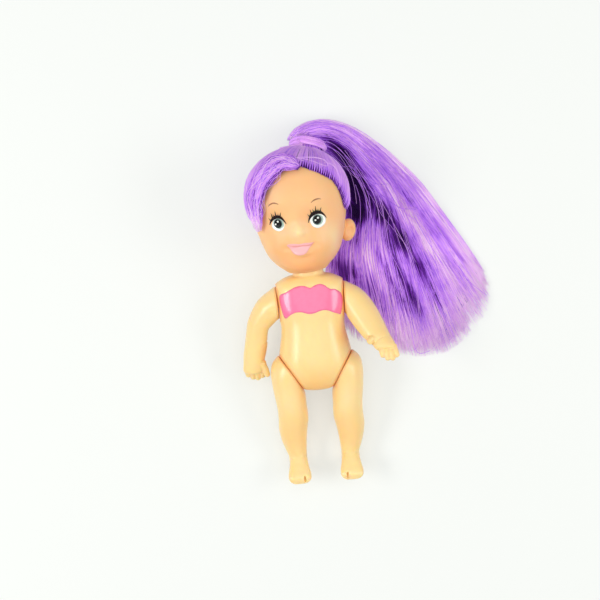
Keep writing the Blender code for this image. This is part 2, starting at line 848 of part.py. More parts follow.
def make_head(head, finish):
    """The hollow vinyl head, open below for the neck's knob."""
    rings = [[with_relief(point)
              for point in head_ring(row, 0, head_sides, head_front_density)]
             for row in fine_head_rows]
    shell = piece("head_shell", skin(rings), head, finish)
    ear_level = ear_level_share * head_height
    ear_base = head_row(ear_level)[1] * head_half_width + ear_stand_out
    for side in (RIGHT, LEFT):
        ear_out = ear_base - (ear_tuck if side == RIGHT else 0)
        spot = empty("ear_frame_%d" % side, head,
                     Matrix.Translation(vector(side * ear_out, ear_level, -ear_back))
                     @ Matrix.Rotation(-side * ear_lean, 4, "Z"))
        combine(shell, guide("ear_%d" % side, ear_shape(side), spot), "UNION")
    top = 1 - head_wall / head_height
    first = head_floor_level / head_height
    levels = [first] + [row[0] for row in head_shares if first < row[0] < hollow_top_share]
    inner = [head_ring(row_at(fine_head_rows, level), head_wall, hollow_sides)
             for level in levels]
    hollow = skin(inner, end_tip=vector(0, top * head_height, 0))
    combine(shell, guide("head_hollow", hollow, head), "DIFFERENCE")
    below = empty("head_bore_frame", head, standing(vector(0, 0, 0)))
    combine(shell, guide("neck_recess", bar(recess_radius, -overrun, recess_level,
                                              recess_sides), below), "DIFFERENCE")
    combine(shell, guide("head_bore", bar(neck_radius + gap + seam_gap, -overrun,
                                          head_floor_level + overrun, plug_sides), below),
            "DIFFERENCE")


def hairline_level(direction):
    """The height of the hairline in the direction seen from above."""
    azimuth = abs(math.atan2(direction.x, direction.z)) / math.pi
    return row_at(hairline_shares, azimuth)[1] * head_height


def tie_direction():
    """From the head's centre to the middle of the elastic."""
    return (vector(tie_across, head_height, -tie_back) - head_centre()).normalized()


def hair_reach(axis, sideways):
    """How far a strip of hair runs from the tie before it meets the hairline."""
    near, far = 0, math.pi
    for _ in range(search_steps):
        middle = (near + far) / 2
        direction = axis * math.cos(middle) + sideways * math.sin(middle)
        if skull_point(direction, 0).y > hairline_level(direction):
            near = middle
        else:
            far = middle
    return near


def make_scalp(head, finish):
    """The cap of combed hair: strips that all run to the elastic."""
    axis = tie_direction()
    first = axis.cross(vector(0, 0, 1)).normalized()
    second = axis.cross(first)
    sides = hair_strip_count * 2
    outer, inner = [], []
    reaches = []
    for index in range(sides):
        angle = 2 * math.pi * index / sides
        sideways = first * math.cos(angle) + second * math.sin(angle)
        tuft = (hair_edge_tuft if index % 2 else 0) / head_half_width
        reaches.append((sideways, hair_reach(axis, sideways) + tuft))
    start = tail_root_radius * hair_start_share / head_half_width
    for ring in range(hair_ring_count):
        t = ring / (hair_ring_count - 1)
        high, low = [], []
        for index, (sideways, reach) in enumerate(reaches):
            angle = start + (reach - start) * t
            direction = axis * math.cos(angle) + sideways * math.sin(angle)
            edge = 1 if t < hair_edge_share else hair_edge_lift_share
            ridge = hair_ridge * min(1, t / hair_ridge_rise_share) if index % 2 else 0
            high.append(skull_point(direction, hair_gap + (hair_thickness + ridge) * edge))
            low.append(skull_point(direction, hair_gap))
        outer.append(high)
        inner.append(low)
    rings = outer + inner[::-1]
    piece("scalp_hair", skin(rings, start_tip=skull_point(axis, hair_gap + hair_thickness),
                             end_tip=skull_point(axis, hair_gap)), head, finish)


def make_fringe(head, finish):
    """A lock laid from the parting over the temple, ending in a point."""
    rows = smooth_rows(fringe_shares, 2)
    lift = hair_gap + hair_thickness + hair_ridge + gap + fringe_thickness / 2
    centres = []
    for row in rows:
        direction = (vector(*row[:3]) * head_height
                     - head_centre()).normalized()
        centres.append(skull_point(direction, lift))
    rings = []
    for index, (row, centre) in enumerate(zip(rows, centres)):
        ahead = centres[min(index + 1, len(rows) - 1)]
        behind = centres[max(index - 1, 0)]
        along = (ahead - behind).normalized()
        outward = (centre - head_centre()).normalized()
        across = along.cross(outward).normalized()
        outward = across.cross(along)
        wide, thick = row[3] * fringe_width / 2, row[4] * fringe_thickness / 2
        rings.append([centre + across * wide * c + outward * thick * s
                      for c, s in unit_ring(fringe_sides, round_section)])
    piece("fringe_lock", skin(rings), head, finish)


def hoop(radius, across_radius, along_radius, level):
    """A closed ring about +Z with an oval section."""
    shape = bmesh.new()
    loops = []
    for turn in range(ring_turns):
        angle = 2 * math.pi * turn / ring_turns
        loop = []
        for index in range(ring_sides):
            tilt = 2 * math.pi * index / ring_sides
            out = radius + across_radius * math.cos(tilt)
            loop.append(shape.verts.new((out * math.cos(angle), out * math.sin(angle),
                                         level + along_radius * math.sin(tilt))))
        loops.append(loop)
    for turn in range(ring_turns):
        here, there = loops[turn], loops[(turn + 1) % ring_turns]
        for index in range(ring_sides):
            following = (index + 1) % ring_sides
            shape.faces.new((here[index], here[following], there[following], there[index]))
    return shape


def make_tie(head, finish, light):
    """The elastic at the ponytail's root and the lock wound above it."""
    axis = tie_direction()
    seat = skull_point(axis, hair_gap + hair_thickness + gap)
    frame = empty("tie_frame", head, frame_matrix(seat, axis, vector(0, 0, 1)))
    wrap_half = wrap_radius * wrap_width_share
    level = hair_ridge + wrap_half
    elastic_ring = tail_root_radius + gap + elastic_radius
    wrap_ring = elastic_ring + elastic_radius + gap + wrap_radius
    piece("hair_elastic", hoop(elastic_ring, elastic_radius, elastic_radius, level), frame,
          finish)
    piece("wrap_lock", hoop(wrap_ring, wrap_radius, wrap_half, level), frame, light)
    return frame, level + wrap_half


def tail_ring(row, origin):
    """One section of the fan: flat below, ridged locks above."""
    outer_x, outer_y, inner_x, inner_y, top, edge, under = row
    outer = vector(outer_x * tail_length, outer_y * tail_length, 0) + origin
    inner = vector(inner_x * tail_length, inner_y * tail_length, 0) + origin
    points = []
    upper = tail_sides * 2 // 3
    lower = tail_sides - upper
    rim = edge * tail_height
    for index in range(upper):
        t = index / (upper - 1)
        swell = math.sin(math.pi * t) ** tail_swell_power * (1 - (1 - tail_inner_share) * t)
        height = rim + (top * tail_height - rim) * swell
        height += tail_lock_ridge * swell * math.cos(2 * math.pi * tail_lock_count * t)
        points.append(outer.lerp(inner, t) + vector(0, 0, max(height, rim)))
    for index in range(lower):
        t = 1 - (index + 0.5) / lower
        bottom = tail_under_gap + under * tail_height
        points.append(outer.lerp(inner, t) + vector(0, 0, bottom))
    return points


def root_ring(matrix, level, radius):
    """A round section of the ponytail in its tie, in the order of the fan's."""
    upper = tail_sides * 2 // 3
    lower = tail_sides - upper
    angles = [math.pi * index / (upper - 1) for index in range(upper)]
    angles += [math.pi * (1 + (index + 0.5) / lower) for index in range(lower)]
    return [matrix @ vector(radius * math.cos(angle), radius * math.sin(angle), level)
            for angle in angles]


def make_tail(table_frame, tie_matrix, tie_top, finish):
    """The ponytail, from its round root to the ends spread on the table."""
    origin = tie_matrix.translation.copy()
    origin.z = 0
    rings = [root_ring(tie_matrix, 0, tail_root_radius),
             root_ring(tie_matrix, tie_top, tail_root_radius),
             root_ring(tie_matrix, tie_top + tail_root_radius * tail_flare_share,
                       tail_root_radius * (1 + tail_flare_share))]
    rings += [tail_ring(row, origin) for row in tail_shares]
    tip = vector(tail_tip_share[0] * tail_length, tail_tip_share[1] * tail_length,
                 tail_under_gap * 2) + origin
    piece("ponytail", skin(rings, end_tip=tip), table_frame, finish)


def lowest(points, lean):
    """How far below the neck's base a set of body points reaches when reclined."""
    up = vector(0, math.sin(lean), math.cos(lean))
    return min(point.dot(up) for point in points)


def recline_angle(head_points, heel_points):
    """The lean at which the back of the head and the heels both touch down."""
    low, high = 0, steepest_recline
    for _ in range(search_steps):
        middle = (low + high) / 2
        if lowest(head_points, middle) < lowest(heel_points, middle):
            low = middle
        else:
            high = middle
    return (low + high) / 2


def world_points(item):
    """Corners of a finished piece, where they lie in the row."""
    seen = item.evaluated_get(bpy.context.evaluated_depsgraph_get())
    return [seen.matrix_world @ corner.co for corner in seen.data.vertices]


def centre_on_base(root):
    """Put the origin under the middle of the whole part, on its lowest level."""
    bpy.context.view_layer.update()
    points = [point for item in bpy.data.objects
              if item.type == "MESH" and not item.hide_render
              for point in world_points(item)]
    lows = [min(point[axis] for point in points) for axis in range(3)]
    highs = [max(point[axis] for point in points) for axis in range(3)]
    root.location = vector(-(lows[0] + highs[0]) / 2, -(lows[1] + highs[1]) / 2, -lows[2])
    bpy.context.view_layer.update()


def build():
    remove_everything()
    skin_finish = finish_of("body_plastic", skin_colour, skin_roughness)
    head_finish = finish_of("head_vinyl", head_colour, vinyl_roughness)
    plug_finish = finish_of("plug_plastic", plug_colour, vinyl_roughness)
    hair_finish = finish_of("lilac_hair", hair_colour, hair_roughness)
    light_finish = finish_of("pale_lilac_hair", light_hair_colour, hair_roughness)
    elastic_finish = finish_of("elastic", elastic_colour, elastic_roughness)

    root = empty("row_frame", None, Matrix.Identity(4))
    doll = empty("doll_frame", root, Matrix.Identity(4))
    joints = {
        "right_shoulder": empty("right_shoulder_frame", doll, shoulder_matrix(RIGHT)),
        "left_shoulder": empty("left_shoulder_frame", doll, shoulder_matrix(LEFT)),
        "right_hip": empty("right_hip_frame", doll, hip_matrix(RIGHT)),
        "left_hip": empty("left_hip_frame", doll, hip_matrix(LEFT)),
    }
    bpy.context.view_layer.update()
    make_torso(doll, joints, skin_finish)
    make_neck(doll, plug_finish)
    for label, joint in joints.items():
        radius = arm_plug_radius if "shoulder" in label else leg_plug_radius
        make_limb_plug(label + "_plug", joint, radius, plug_finish)
    make_arm("right_arm", doll, joints["right_shoulder"], RIGHT, right_arm_shares,
             right_finger_shares, right_arm_raise, skin_finish)
    make_arm("left_arm", doll, joints["left_shoulder"], LEFT, left_arm_shares,
             left_finger_shares, left_arm_raise, skin_finish)
    make_leg("right_leg", doll, joints["right_hip"], RIGHT, skin_finish)
    make_leg("left_leg", doll, joints["left_hip"], LEFT, skin_finish)

    head_matrix = Matrix.Rotation(head_roll, 4, "Z") @ Matrix.Rotation(head_turn, 4, "Y")
    head = empty("head_frame", doll, head_matrix)
    make_head(head, head_finish)
    make_scalp(head, hair_finish)
    make_fringe(head, light_finish)
    tie_frame, tie_top = make_tie(head, elastic_finish, light_finish)

    bpy.context.view_layer.update()
    scalp = bpy.data.objects["scalp_hair"]
    head_points = world_points(scalp)
    heel_points = world_points(bpy.data.objects["right_leg"]) \
        + world_points(bpy.data.objects["left_leg"])
    lean = recline_angle(head_points, heel_points)
    height = -lowest(head_points, lean)
    doll.matrix_local = Matrix.Translation(vector(0, 0, height)) \
        @ Matrix.Rotation(lean, 4, "X")
    bpy.context.view_layer.update()
    make_tail(root, tie_frame.matrix_world.copy(), tie_top, hair_finish)
    centre_on_base(root)
    print("recline in degrees: %.2f" % math.degrees(lean))


fine_head_rows = smooth_rows(head_shares, 2)
build()
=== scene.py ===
# %% [markdown]
# # A small jointed doll with a lilac ponytail
# The doll lies on its back on a white table, and the camera looks straight down
# on it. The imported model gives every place: where the neck, the shoulders and the
# hips are, and which piece moves with which body. This file gives the looks. Each
# step first says what the piece is on the real doll, then how it can be made.

# %% Load the frame
import json
import math

import bmesh
import bpy
import numpy as np
from mathutils import Matrix, Vector, geometry
from mathutils.bvhtree import BVHTree


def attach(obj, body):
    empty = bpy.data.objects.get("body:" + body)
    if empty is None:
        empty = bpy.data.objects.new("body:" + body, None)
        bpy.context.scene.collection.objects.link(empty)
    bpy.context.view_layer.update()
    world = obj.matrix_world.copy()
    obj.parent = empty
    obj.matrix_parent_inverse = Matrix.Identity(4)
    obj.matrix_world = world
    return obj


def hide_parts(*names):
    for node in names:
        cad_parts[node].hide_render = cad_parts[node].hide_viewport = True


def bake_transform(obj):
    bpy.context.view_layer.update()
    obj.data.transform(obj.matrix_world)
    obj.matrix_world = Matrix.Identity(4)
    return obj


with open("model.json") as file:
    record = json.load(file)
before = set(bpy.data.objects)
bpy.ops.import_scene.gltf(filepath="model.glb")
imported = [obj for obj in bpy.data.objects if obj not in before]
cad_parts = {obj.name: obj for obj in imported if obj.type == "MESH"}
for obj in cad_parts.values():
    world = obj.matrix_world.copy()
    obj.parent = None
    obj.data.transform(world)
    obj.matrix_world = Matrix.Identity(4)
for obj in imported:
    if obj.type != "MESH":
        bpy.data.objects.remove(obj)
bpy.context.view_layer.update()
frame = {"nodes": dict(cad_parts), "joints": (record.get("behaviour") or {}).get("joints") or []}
joints = {joint["name"]: joint for joint in frame["joints"]}
MM = 0.001
RIGHT, LEFT = -1, 1


def in_mm(*lengths):
    """Lengths in metres as rounded millimetres, for printing."""
    return [round(float(length) / MM, 1) for length in lengths]


# %% [markdown]
# ## Where the doll lies
# The model states each joint's place and axis in the world. Everything on the
# doll is easier to shape in the doll's own directions: X to its left, Y up its
# body, Z out of its chest. The middle of the shoulders lies straight below the
# neck, so the line between them is the body's Y. The head has its own frame,
# because it leans a little to one side and looks a little past the camera.

# %% Frames of the body and the head
neck = Vector(joints["head_turn"]["pos_m"])
hip_at, shoulder_at = ({RIGHT: Vector(joints["right_" + kind]["pos_m"]),
                        LEFT: Vector(joints["left_" + kind]["pos_m"])}
                       for kind in ("hip", "shoulder"))
body_up = (neck - (shoulder_at[RIGHT] + shoulder_at[LEFT]) / 2).normalized()
body_left = Vector((1, 0, 0))
body_front = body_left.cross(body_up)
turn_to_body = Matrix((body_left, body_up, body_front)).transposed().to_4x4()
body_frame = Matrix.Translation(neck) @ turn_to_body

head_roll, head_turn = math.radians(3.3), math.radians(-5.0)
head_frame = (body_frame @ Matrix.Rotation(head_roll, 4, "Z")
              @ Matrix.Rotation(head_turn, 4, "Y"))
print("neck in mm:", in_mm(*neck))

# %% [markdown]
# ## The camera
# The photograph is taken from straight above, from about 60 cm, with a lens long
# enough that the feet and the head show at the same scale. The camera is turned
# by about five degrees, because the doll does not lie quite straight in the
# picture.

# %% Camera
focal_pixels, photo_pixels, camera_height = 1633, 600, 0.6
camera_data = bpy.data.cameras.new("camera")
camera_data.sensor_width = 36.0
camera_data.lens = camera_data.sensor_width * focal_pixels / photo_pixels
camera_data.clip_start, camera_data.clip_end = 0.05, 10.0
camera = bpy.data.objects.new("camera", camera_data)
bpy.context.scene.collection.objects.link(camera)
camera.location = (neck.x - 3.8 * MM, neck.y - 9.7 * MM, camera_height)
camera.rotation_euler = (0, 0, math.radians(-5.14))
bpy.context.scene.camera = camera
print("lens in mm:", round(camera_data.lens, 1))

# %% [markdown]
# ## Shader expressions
# A material is easier to read as a sum than as a web of boxes. The class below
# wraps one output of a node. Adding, taking away or multiplying two of them adds
# the Math node that does it, and `node` adds any other node by its type. Noise and
# bumps are used so often that they have short names of their own.

# %% A socket that can be reckoned with
class Socket:
    """One output of a shader node, with arithmetic."""

    def __init__(self, tree, output):
        self.tree = tree
        self.output = output

    def node(self, kind, settings=None, **inputs):
        """Add a node, set it up, feed its inputs, and give its first output."""
        made = self.tree.nodes.new(kind)
        for key, value in (settings or {}).items():
            if key == "stops":
                ramp = made.color_ramp
                while len(ramp.elements) < len(value):
                    ramp.elements.new(0.5)
                for element, (place, colour) in zip(ramp.elements, value):
                    element.position, element.color = place, colour
            else:
                setattr(made, key, value)
        feed(made, **inputs)
        return Socket(self.tree, made.outputs[0])

    def out(self, name):
        """Another output of the same node."""
        return Socket(self.tree, self.output.node.outputs[name])

    def math(self, operation, first, second=0.0):
        """A Math node on two numbers."""
        return self.node("ShaderNodeMath", {"operation": operation}, _0=first, _1=second)

    def vector(self, operation, other):
        """Vector maths; a distance or a dot product gives a number."""
        made = self.node("ShaderNodeVectorMath", {"operation": operation}, _0=self, _1=other)
        return made.out("Value") if operation in ("DISTANCE", "DOT_PRODUCT") else made

    def noise(self, scale, detail=2.0):
        """Soft noise over this place: how fine it is, and how many finer layers it has."""
        return self.node("ShaderNodeTexNoise", None, Vector=self, Scale=float(scale),
                         Detail=float(detail))

    def bumps(self, strength, height):
        """This value as a relief, for the Normal input."""
        return self.node("ShaderNodeBump", None, Strength=strength, Distance=height,
                         Height=self)

    def __add__(self, other):
        return self.math("ADD", self, other)

    def __radd__(self, other):
        return self.math("ADD", other, self)

    def __sub__(self, other):
        return self.math("SUBTRACT", self, other)

    def __rsub__(self, other):
        return self.math("SUBTRACT", other, self)

    def __mul__(self, other):
        return self.math("MULTIPLY", self, other)

    def __rmul__(self, other):
        return self.math("MULTIPLY", other, self)

    def clamped(self):
        return self.node("ShaderNodeClamp", None, Value=self)

    def mixed(self, first, second):
        """Two colours mixed by this factor; the colour is the node's third output."""
        made = self.node("ShaderNodeMix", {"data_type": "RGBA"}, _0=self, _6=first, _7=second)
        return Socket(self.tree, made.output.node.outputs[2])


def feed(made, **inputs):
    """Link expressions to a node's inputs, or set them. _0 and _1 go by their place."""
    for key, value in inputs.items():
        slot = made.inputs[int(key[1:]) if key[1:].isdigit() else key.replace("_", " ")]
        if isinstance(value, Socket):
            value.tree.links.new(value.output, slot)
        else:
            slot.default_value = value


def linear(red, green, blue):
    """An sRGB colour, 0 to 255, as the linear colour and alpha that shaders use."""
    return (*((c / 3294.6 if c <= 10.31 else ((c / 255 + 0.055) / 1.055) ** 2.4)
              for c in (red, green, blue)), 1.0)


def new_material(name):
    """A Principled material, its shader, and a socket to start expressions from."""
    material = bpy.data.materials.new(name)
    material.use_nodes = True
    tree = material.node_tree
    shader = tree.nodes["Principled BSDF"]
    place = tree.nodes.new("ShaderNodeTexCoord")
    return material, shader, Socket(tree, place.outputs["Object"])


print("a mid lilac in linear light:", [round(c, 3) for c in linear(181, 123, 222)])

# %% [markdown]
# ## Table, backdrop and light
# The table is a white sheet. To the camera it adds a little light of its own, so
# it reads as white paper while the doll's soft shadow stays on it. Gloss sees the
# same brightness. Two tall windows of light stand low on the left and the right, and
# their reflections are the two pale patches at the ends of the painted top. A wide
# ceiling and the white surroundings fill the rest.

# %% Table
def unselect_all():
    """Leave edit mode and select nothing, before the next operator."""
    if bpy.context.object and bpy.context.object.mode != "OBJECT":
        bpy.ops.object.mode_set(mode="OBJECT")
    bpy.ops.object.select_all(action="DESELECT")


def pick(piece, *others):
    """Select some pieces and nothing else, the first as the active one."""
    unselect_all()
    for one in (*others, piece):
        one.select_set(True)
    bpy.context.view_layer.objects.active = piece


paper_glow, room_light = 0.5, 0.38
unselect_all()
bpy.ops.mesh.primitive_plane_add(size=3.0, location=(0, 0, -0.05 * MM))
table = bpy.context.object
table.name = "table"
bpy.ops.object.transform_apply(location=True, rotation=True, scale=True)
paper, paper_shader, paper_place = new_material("white_paper")
feed(paper_shader, Base_Color=linear(236, 239, 236), Roughness=0.9, Specular_IOR_Level=0.2)
seen = paper_place.node("ShaderNodeLightPath")
looked_at = (seen.out("Is Camera Ray") + seen.out("Is Glossy Ray")
             + seen.out("Is Transmission Ray")).clamped()
glow = paper_place.node("ShaderNodeEmission", None, Color=(0.97, 1.0, 0.97, 1.0), Strength=1.0)
paper_out = paper.node_tree.nodes["Material Output"]
glowing = paper_place.node("ShaderNodeMixShader", None, _0=looked_at * paper_glow, _2=glow)
paper.node_tree.links.new(paper_shader.outputs[0], glowing.output.node.inputs[1])
paper.node_tree.links.new(glowing.output, paper_out.inputs["Surface"])
table.data.materials.append(paper)
print("the table is", in_mm(*table.dimensions[:2]), "mm wide and long")

# %% Lights
def soft_light(name, place, length, width, power, colour):
    """An elliptical window of light aimed at the doll, its length along the doll."""
    data = bpy.data.lights.new(name, "AREA")
    data.shape = "ELLIPSE"
    data.size, data.size_y = length, width
    data.energy = power
    data.color = colour
    lamp = bpy.data.objects.new(name, data)
    bpy.context.scene.collection.objects.link(lamp)
    lamp.location = place
    lamp.rotation_euler = (-Vector(place)).to_track_quat("-Z", "Y").to_euler()


soft_light("left_window", (-0.52, -0.02, 0.44), 0.42, 0.20, 1.85, (1.0, 0.99, 0.97))
soft_light("right_window", (0.50, -0.06, 0.42), 0.42, 0.22, 1.25, (1.0, 0.99, 0.97))
soft_light("ceiling", (0.0, 0.0, 1.0), 1.2, 1.2, 4.2, (1.0, 0.99, 0.98))
world = bpy.data.worlds.new("white_room")
bpy.context.scene.world = world
world.use_nodes = True
feed(world.node_tree.nodes["Background"], Color=(1.0, 1.0, 1.0, 1.0), Strength=room_light)
bpy.context.scene.view_settings.view_transform = "Standard"

# %% [markdown]
# ## How the moulded forms are made
# Body, arms, legs and head are smooth moulded forms whose section changes all
# along their length. Subdividing a box would take many cages. A loft is more
# direct: a table gives the section at a few levels, the rows between come from a
# smooth curve through them, and a grid primitive is wrapped round the sections.
# Parts that the mould joins, such as fingers and palm, are laid into each other
# and fused by a voxel remesh, which also rounds the rims as a mould does.

# %% Loft helpers
def spline(a, b, c, d, t):
    """A point on the smooth curve from b to c; a and d are the points around them."""
    return 0.5 * (2 * b + (c - a) * t + (2 * a - 5 * b + 4 * c - d) * t * t
                  + (3 * b - a - 3 * c + d) * t ** 3)


def smooth_rows(rows, steps):
    """Rows on a smooth curve through the rows of a table."""
    result = []
    last = len(rows) - 1
    for index in range(last):
        before, start = rows[max(index - 1, 0)], rows[index]
        end, after = rows[index + 1], rows[min(index + 2, last)]
        for step in range(steps):
            result.append(tuple(spline(*around, step / steps)
                                for around in zip(before, start, end, after)))
    result.append(tuple(rows[-1]))
    return result


def unit_ring(sides, squareness, density=0.0):
    """Points of a slightly squared circle, closer together at the front."""
    points = []
    for index in range(sides):
        turn = 2 * math.pi * index / sides
        angle = turn + density * math.cos(turn)
        across, deep = math.cos(angle), math.sin(angle)
        points.append((math.copysign(abs(across) ** (2 / squareness), across),
                       math.copysign(abs(deep) ** (2 / squareness), deep)))
    return points


def wrapped(name, rings):
    """A grid primitive wrapped round rings of points and closed at both ends."""
    unselect_all()
    sides = len(rings[0])
    bpy.ops.mesh.primitive_grid_add(x_subdivisions=sides, y_subdivisions=len(rings) - 1,
                                    size=1.0)
    made = bpy.context.object
    made.name = made.data.name = name
    spots = [point for ring in rings for point in (*ring, ring[0])]
    made.data.vertices.foreach_set("co", [value for spot in spots for value in spot])
    bpy.ops.object.mode_set(mode="EDIT")
    bpy.ops.mesh.select_all(action="SELECT")
    bpy.ops.mesh.remove_doubles(threshold=0.00001)
    bpy.ops.mesh.select_all(action="SELECT")
    bpy.ops.mesh.fill_holes(sides=0)
    bpy.ops.mesh.select_all(action="SELECT")
    bpy.ops.mesh.normals_make_consistent(inside=False)
    bpy.ops.object.mode_set(mode="OBJECT")
    return made


def cut_flat(piece, place, outward):
    """Cut a piece by a plane and close the cut."""
    pick(piece)
    bpy.ops.object.mode_set(mode="EDIT")
    bpy.ops.mesh.select_all(action="SELECT")
    bpy.ops.mesh.bisect(plane_co=place, plane_no=outward, use_fill=True, clear_outer=True)
    bpy.ops.object.mode_set(mode="OBJECT")


def apply_modifier(piece, kind, **settings):
    """Add a modifier, set it up and apply it."""
    pick(piece)
    modifier = piece.modifiers.new("step", kind)
    for key, value in settings.items():
        setattr(modifier, key, value)
    bpy.ops.object.modifier_apply(modifier="step")


def cut_away(piece, block):
    """Take the shape of a block out of a piece; the block is used up."""
    apply_modifier(piece, "BOOLEAN", operation="DIFFERENCE", solver="EXACT", object=block)
    bpy.data.objects.remove(block)


def one_skin(piece, others, voxel):
    """Join overlapping forms and wrap one skin of small squares round them."""
    pick(piece, *others)
    if others:
        bpy.ops.object.join()
    apply_modifier(piece, "REMESH", mode="VOXEL", voxel_size=voxel, adaptivity=0.0)


def fuse(piece, others, voxel, rounds):
    """Join overlapping forms into one skin and soften it."""
    one_skin(piece, others, voxel)
    apply_modifier(piece, "SMOOTH", factor=0.5, iterations=rounds)
    bpy.ops.object.shade_smooth()
    print(piece.name, "has", len(piece.data.polygons), "faces")
    return piece


def dress(piece, material):
    """Give a piece one material and no other."""
    piece.data.materials.clear()
    piece.data.materials.append(material)


def finished(piece, body, slot, material, *nodes):
    """Give a piece its material, attach it to the body it moves with, and hide the imported
    parts it stands for.
    """
    dress(piece, material)
    if body:
        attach(piece, body)
    if nodes:
        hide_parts(*nodes)
    return piece


corner = unit_ring(8, squareness=2.15)[1]
print("the corners of a section stand out to", [round(part, 3) for part in corner])

# %% [markdown]
# ## The plastics
# The body, arms and legs are hard, glossy moulded plastic in a warm skin tone;
# the head is softer vinyl, a little pinker and more satin. Both glow slightly in
# thin places, so a little light travels below the surface. Real mouldings are
# never perfectly even: the tone drifts a little, the gloss is dulled by handling,
# and the surface has a very fine orange peel. Light that passes between two skin
# pieces turns orange. To trace it would need a far finer scatter, so the mating
# faces are given a painted warm shade instead. A few soft round patches are
# painted light and shade: warmer ones are painted shade in hollows, between the
# arms, legs and body and round the chin and mouth, and paler ones are painted
# highlights on the forehead, nose, a cheek, an arm and the legs.

# %% Moulded plastic
# how far the flat end of each limb reaches from its joint, in mm
seam_reaches = {"right_shoulder": 7.5, "left_shoulder": 7.5, "right_hip": 9.5, "left_hip": 9.5}
# the mating faces at the seams get a painted warm shade, for the light that turns orange between
# two skin pieces
seam_warm_shade, seam_share, seam_depth = (246, 158, 84), 0.8, 0.8 * MM
# painted shade (warmer) and painted highlights (paler) on the plastic: middle and radius in mm,
# colour, share
body_light_patches = (
    ((-18.5, -32.0, 16.0), 12.0, (255, 188, 108), 0.75),
    ((-7.0, -13.0, 16.0), 8.0, (255, 190, 110), 0.75),
    ((-34.0, -17.0, 10.0), 7.0, (255, 180, 104), 0.80),
    ((-28.0, -49.0, 14.0), 12.0, (255, 206, 138), 0.80),
    ((-9.0, -50.0, 14.0), 12.0, (255, 206, 138), 0.80),
    ((-26.0, -61.0, 14.0), 9.0, (255, 234, 176), 0.60),
    ((-7.5, -62.0, 14.0), 9.0, (255, 234, 176), 0.60),
    ((7.0, -19.0, 15.0), 8.0, (255, 232, 176), 0.60),
    ((-28.8, -35.0, 18.0), 9.0, (255, 228, 172), 0.60),
    ((-9.3, -36.0, 18.0), 9.0, (255, 228, 172), 0.60),
)
# painted shade (warmer) and painted highlights (paler) on the face
head_light_patches = (
    ((-18.5, 11.0, 31.0), 13.0, (250, 172, 108), 0.75),
    ((-8.5, 21.5, 32.0), 9.0, (255, 218, 168), 0.85),
    ((-27.0, 39.0, 32.0), 10.0, (255, 208, 164), 0.60),
    ((-20.5, 24.4, 37.0), 5.0, (255, 230, 178), 0.75),
    ((-26.0, 19.0, 31.0), 6.5, (244, 176, 112), 0.75),
    ((-13.0, 18.5, 32.0), 6.5, (246, 184, 120), 0.70),
    ((-18.0, 30.0, 36.0), 5.5, (238, 182, 126), 0.60),
)


def toned(place, colour, patches):
    """A colour with soft patches of painted shade and highlight, and painted warm shade at the
    seams.
    """
    for spot, radius, other, share in patches:
        away = place.vector("DISTANCE", [c * MM for c in spot])
        inside = (1.0 - away * (1 / (radius * MM))).clamped()
        smooth = inside * inside * (3.0 - inside * 2.0)
        colour = (smooth * share).mixed(colour, linear(*other))
    for name, reach in seam_reaches.items():
        middle, facing = joints[name]["pos_m"], joints[name]["axis"]
        height = place.vector("SUBTRACT", middle).vector("DOT_PRODUCT", facing)
        near = (1.3 - height.math("ABSOLUTE", height) * (1 / seam_depth)).clamped()
        within = ((reach * MM - place.vector("DISTANCE", middle)) * (1 / MM)).clamped()
        colour = (near * within * seam_share).mixed(colour, linear(*seam_warm_shade))
    return colour


def moulded(name, colour, warm, roughness, gloss, peel, patches=()):
    """Skin-toned plastic with drifting tone, handled gloss and orange peel."""
    material, shader, place = new_material(name)
    drift, handled, fine = (place.noise(*grain) for grain in ((55, 3), (420, 4), (2600, 2)))
    amount = (drift * 1.6 - 0.4).clamped()
    even = amount.mixed(linear(*colour), linear(*warm))
    feed(shader, Base_Color=toned(place, even, patches),
         Roughness=handled * 0.12 + (roughness - 0.06), Normal=fine.bumps(peel, 0.06 * MM),
         Coat_Weight=gloss, Coat_Roughness=0.2, Subsurface_Weight=0.4,
         Subsurface_Radius=(1.0, 0.42, 0.14), Subsurface_Scale=2.6 * MM)
    return material


body_plastic = moulded("body_plastic", (255, 220, 153), (254, 214, 145), 0.36, 0.25, 0.25,
                       body_light_patches)
head_vinyl = moulded("head_vinyl", (254, 197, 140), (253, 191, 132), 0.48, 0.05, 0.35,
                     head_light_patches)
plug_plastic = moulded("plug_plastic", (240, 205, 160), (236, 198, 150), 0.45, 0.0, 0.3)
for node in ("neck", *seam_reaches):
    dress(frame["nodes"][node + "_plug"], plug_plastic)
print("plastics:", body_plastic.name, head_vinyl.name, plug_plastic.name)

# %% [markdown]
# ## The body
# The trunk is a pear-like hollow moulding with flat discs cut into its sides,
# against which the limbs turn. It could be sculpted from a sphere, but its outline
# from the front is known at many levels, so a loft of level sections is quicker
# and truer. The hip flats are plane cuts. The shoulder flats are pockets, so a
# block is taken away there.

# %% Trunk
torso_length, torso_half_width, torso_half_depth = 42.3 * MM, 13.4 * MM, 10.4 * MM
pocket_reach, trunk_voxel = 6.5 * MM, 0.32 * MM
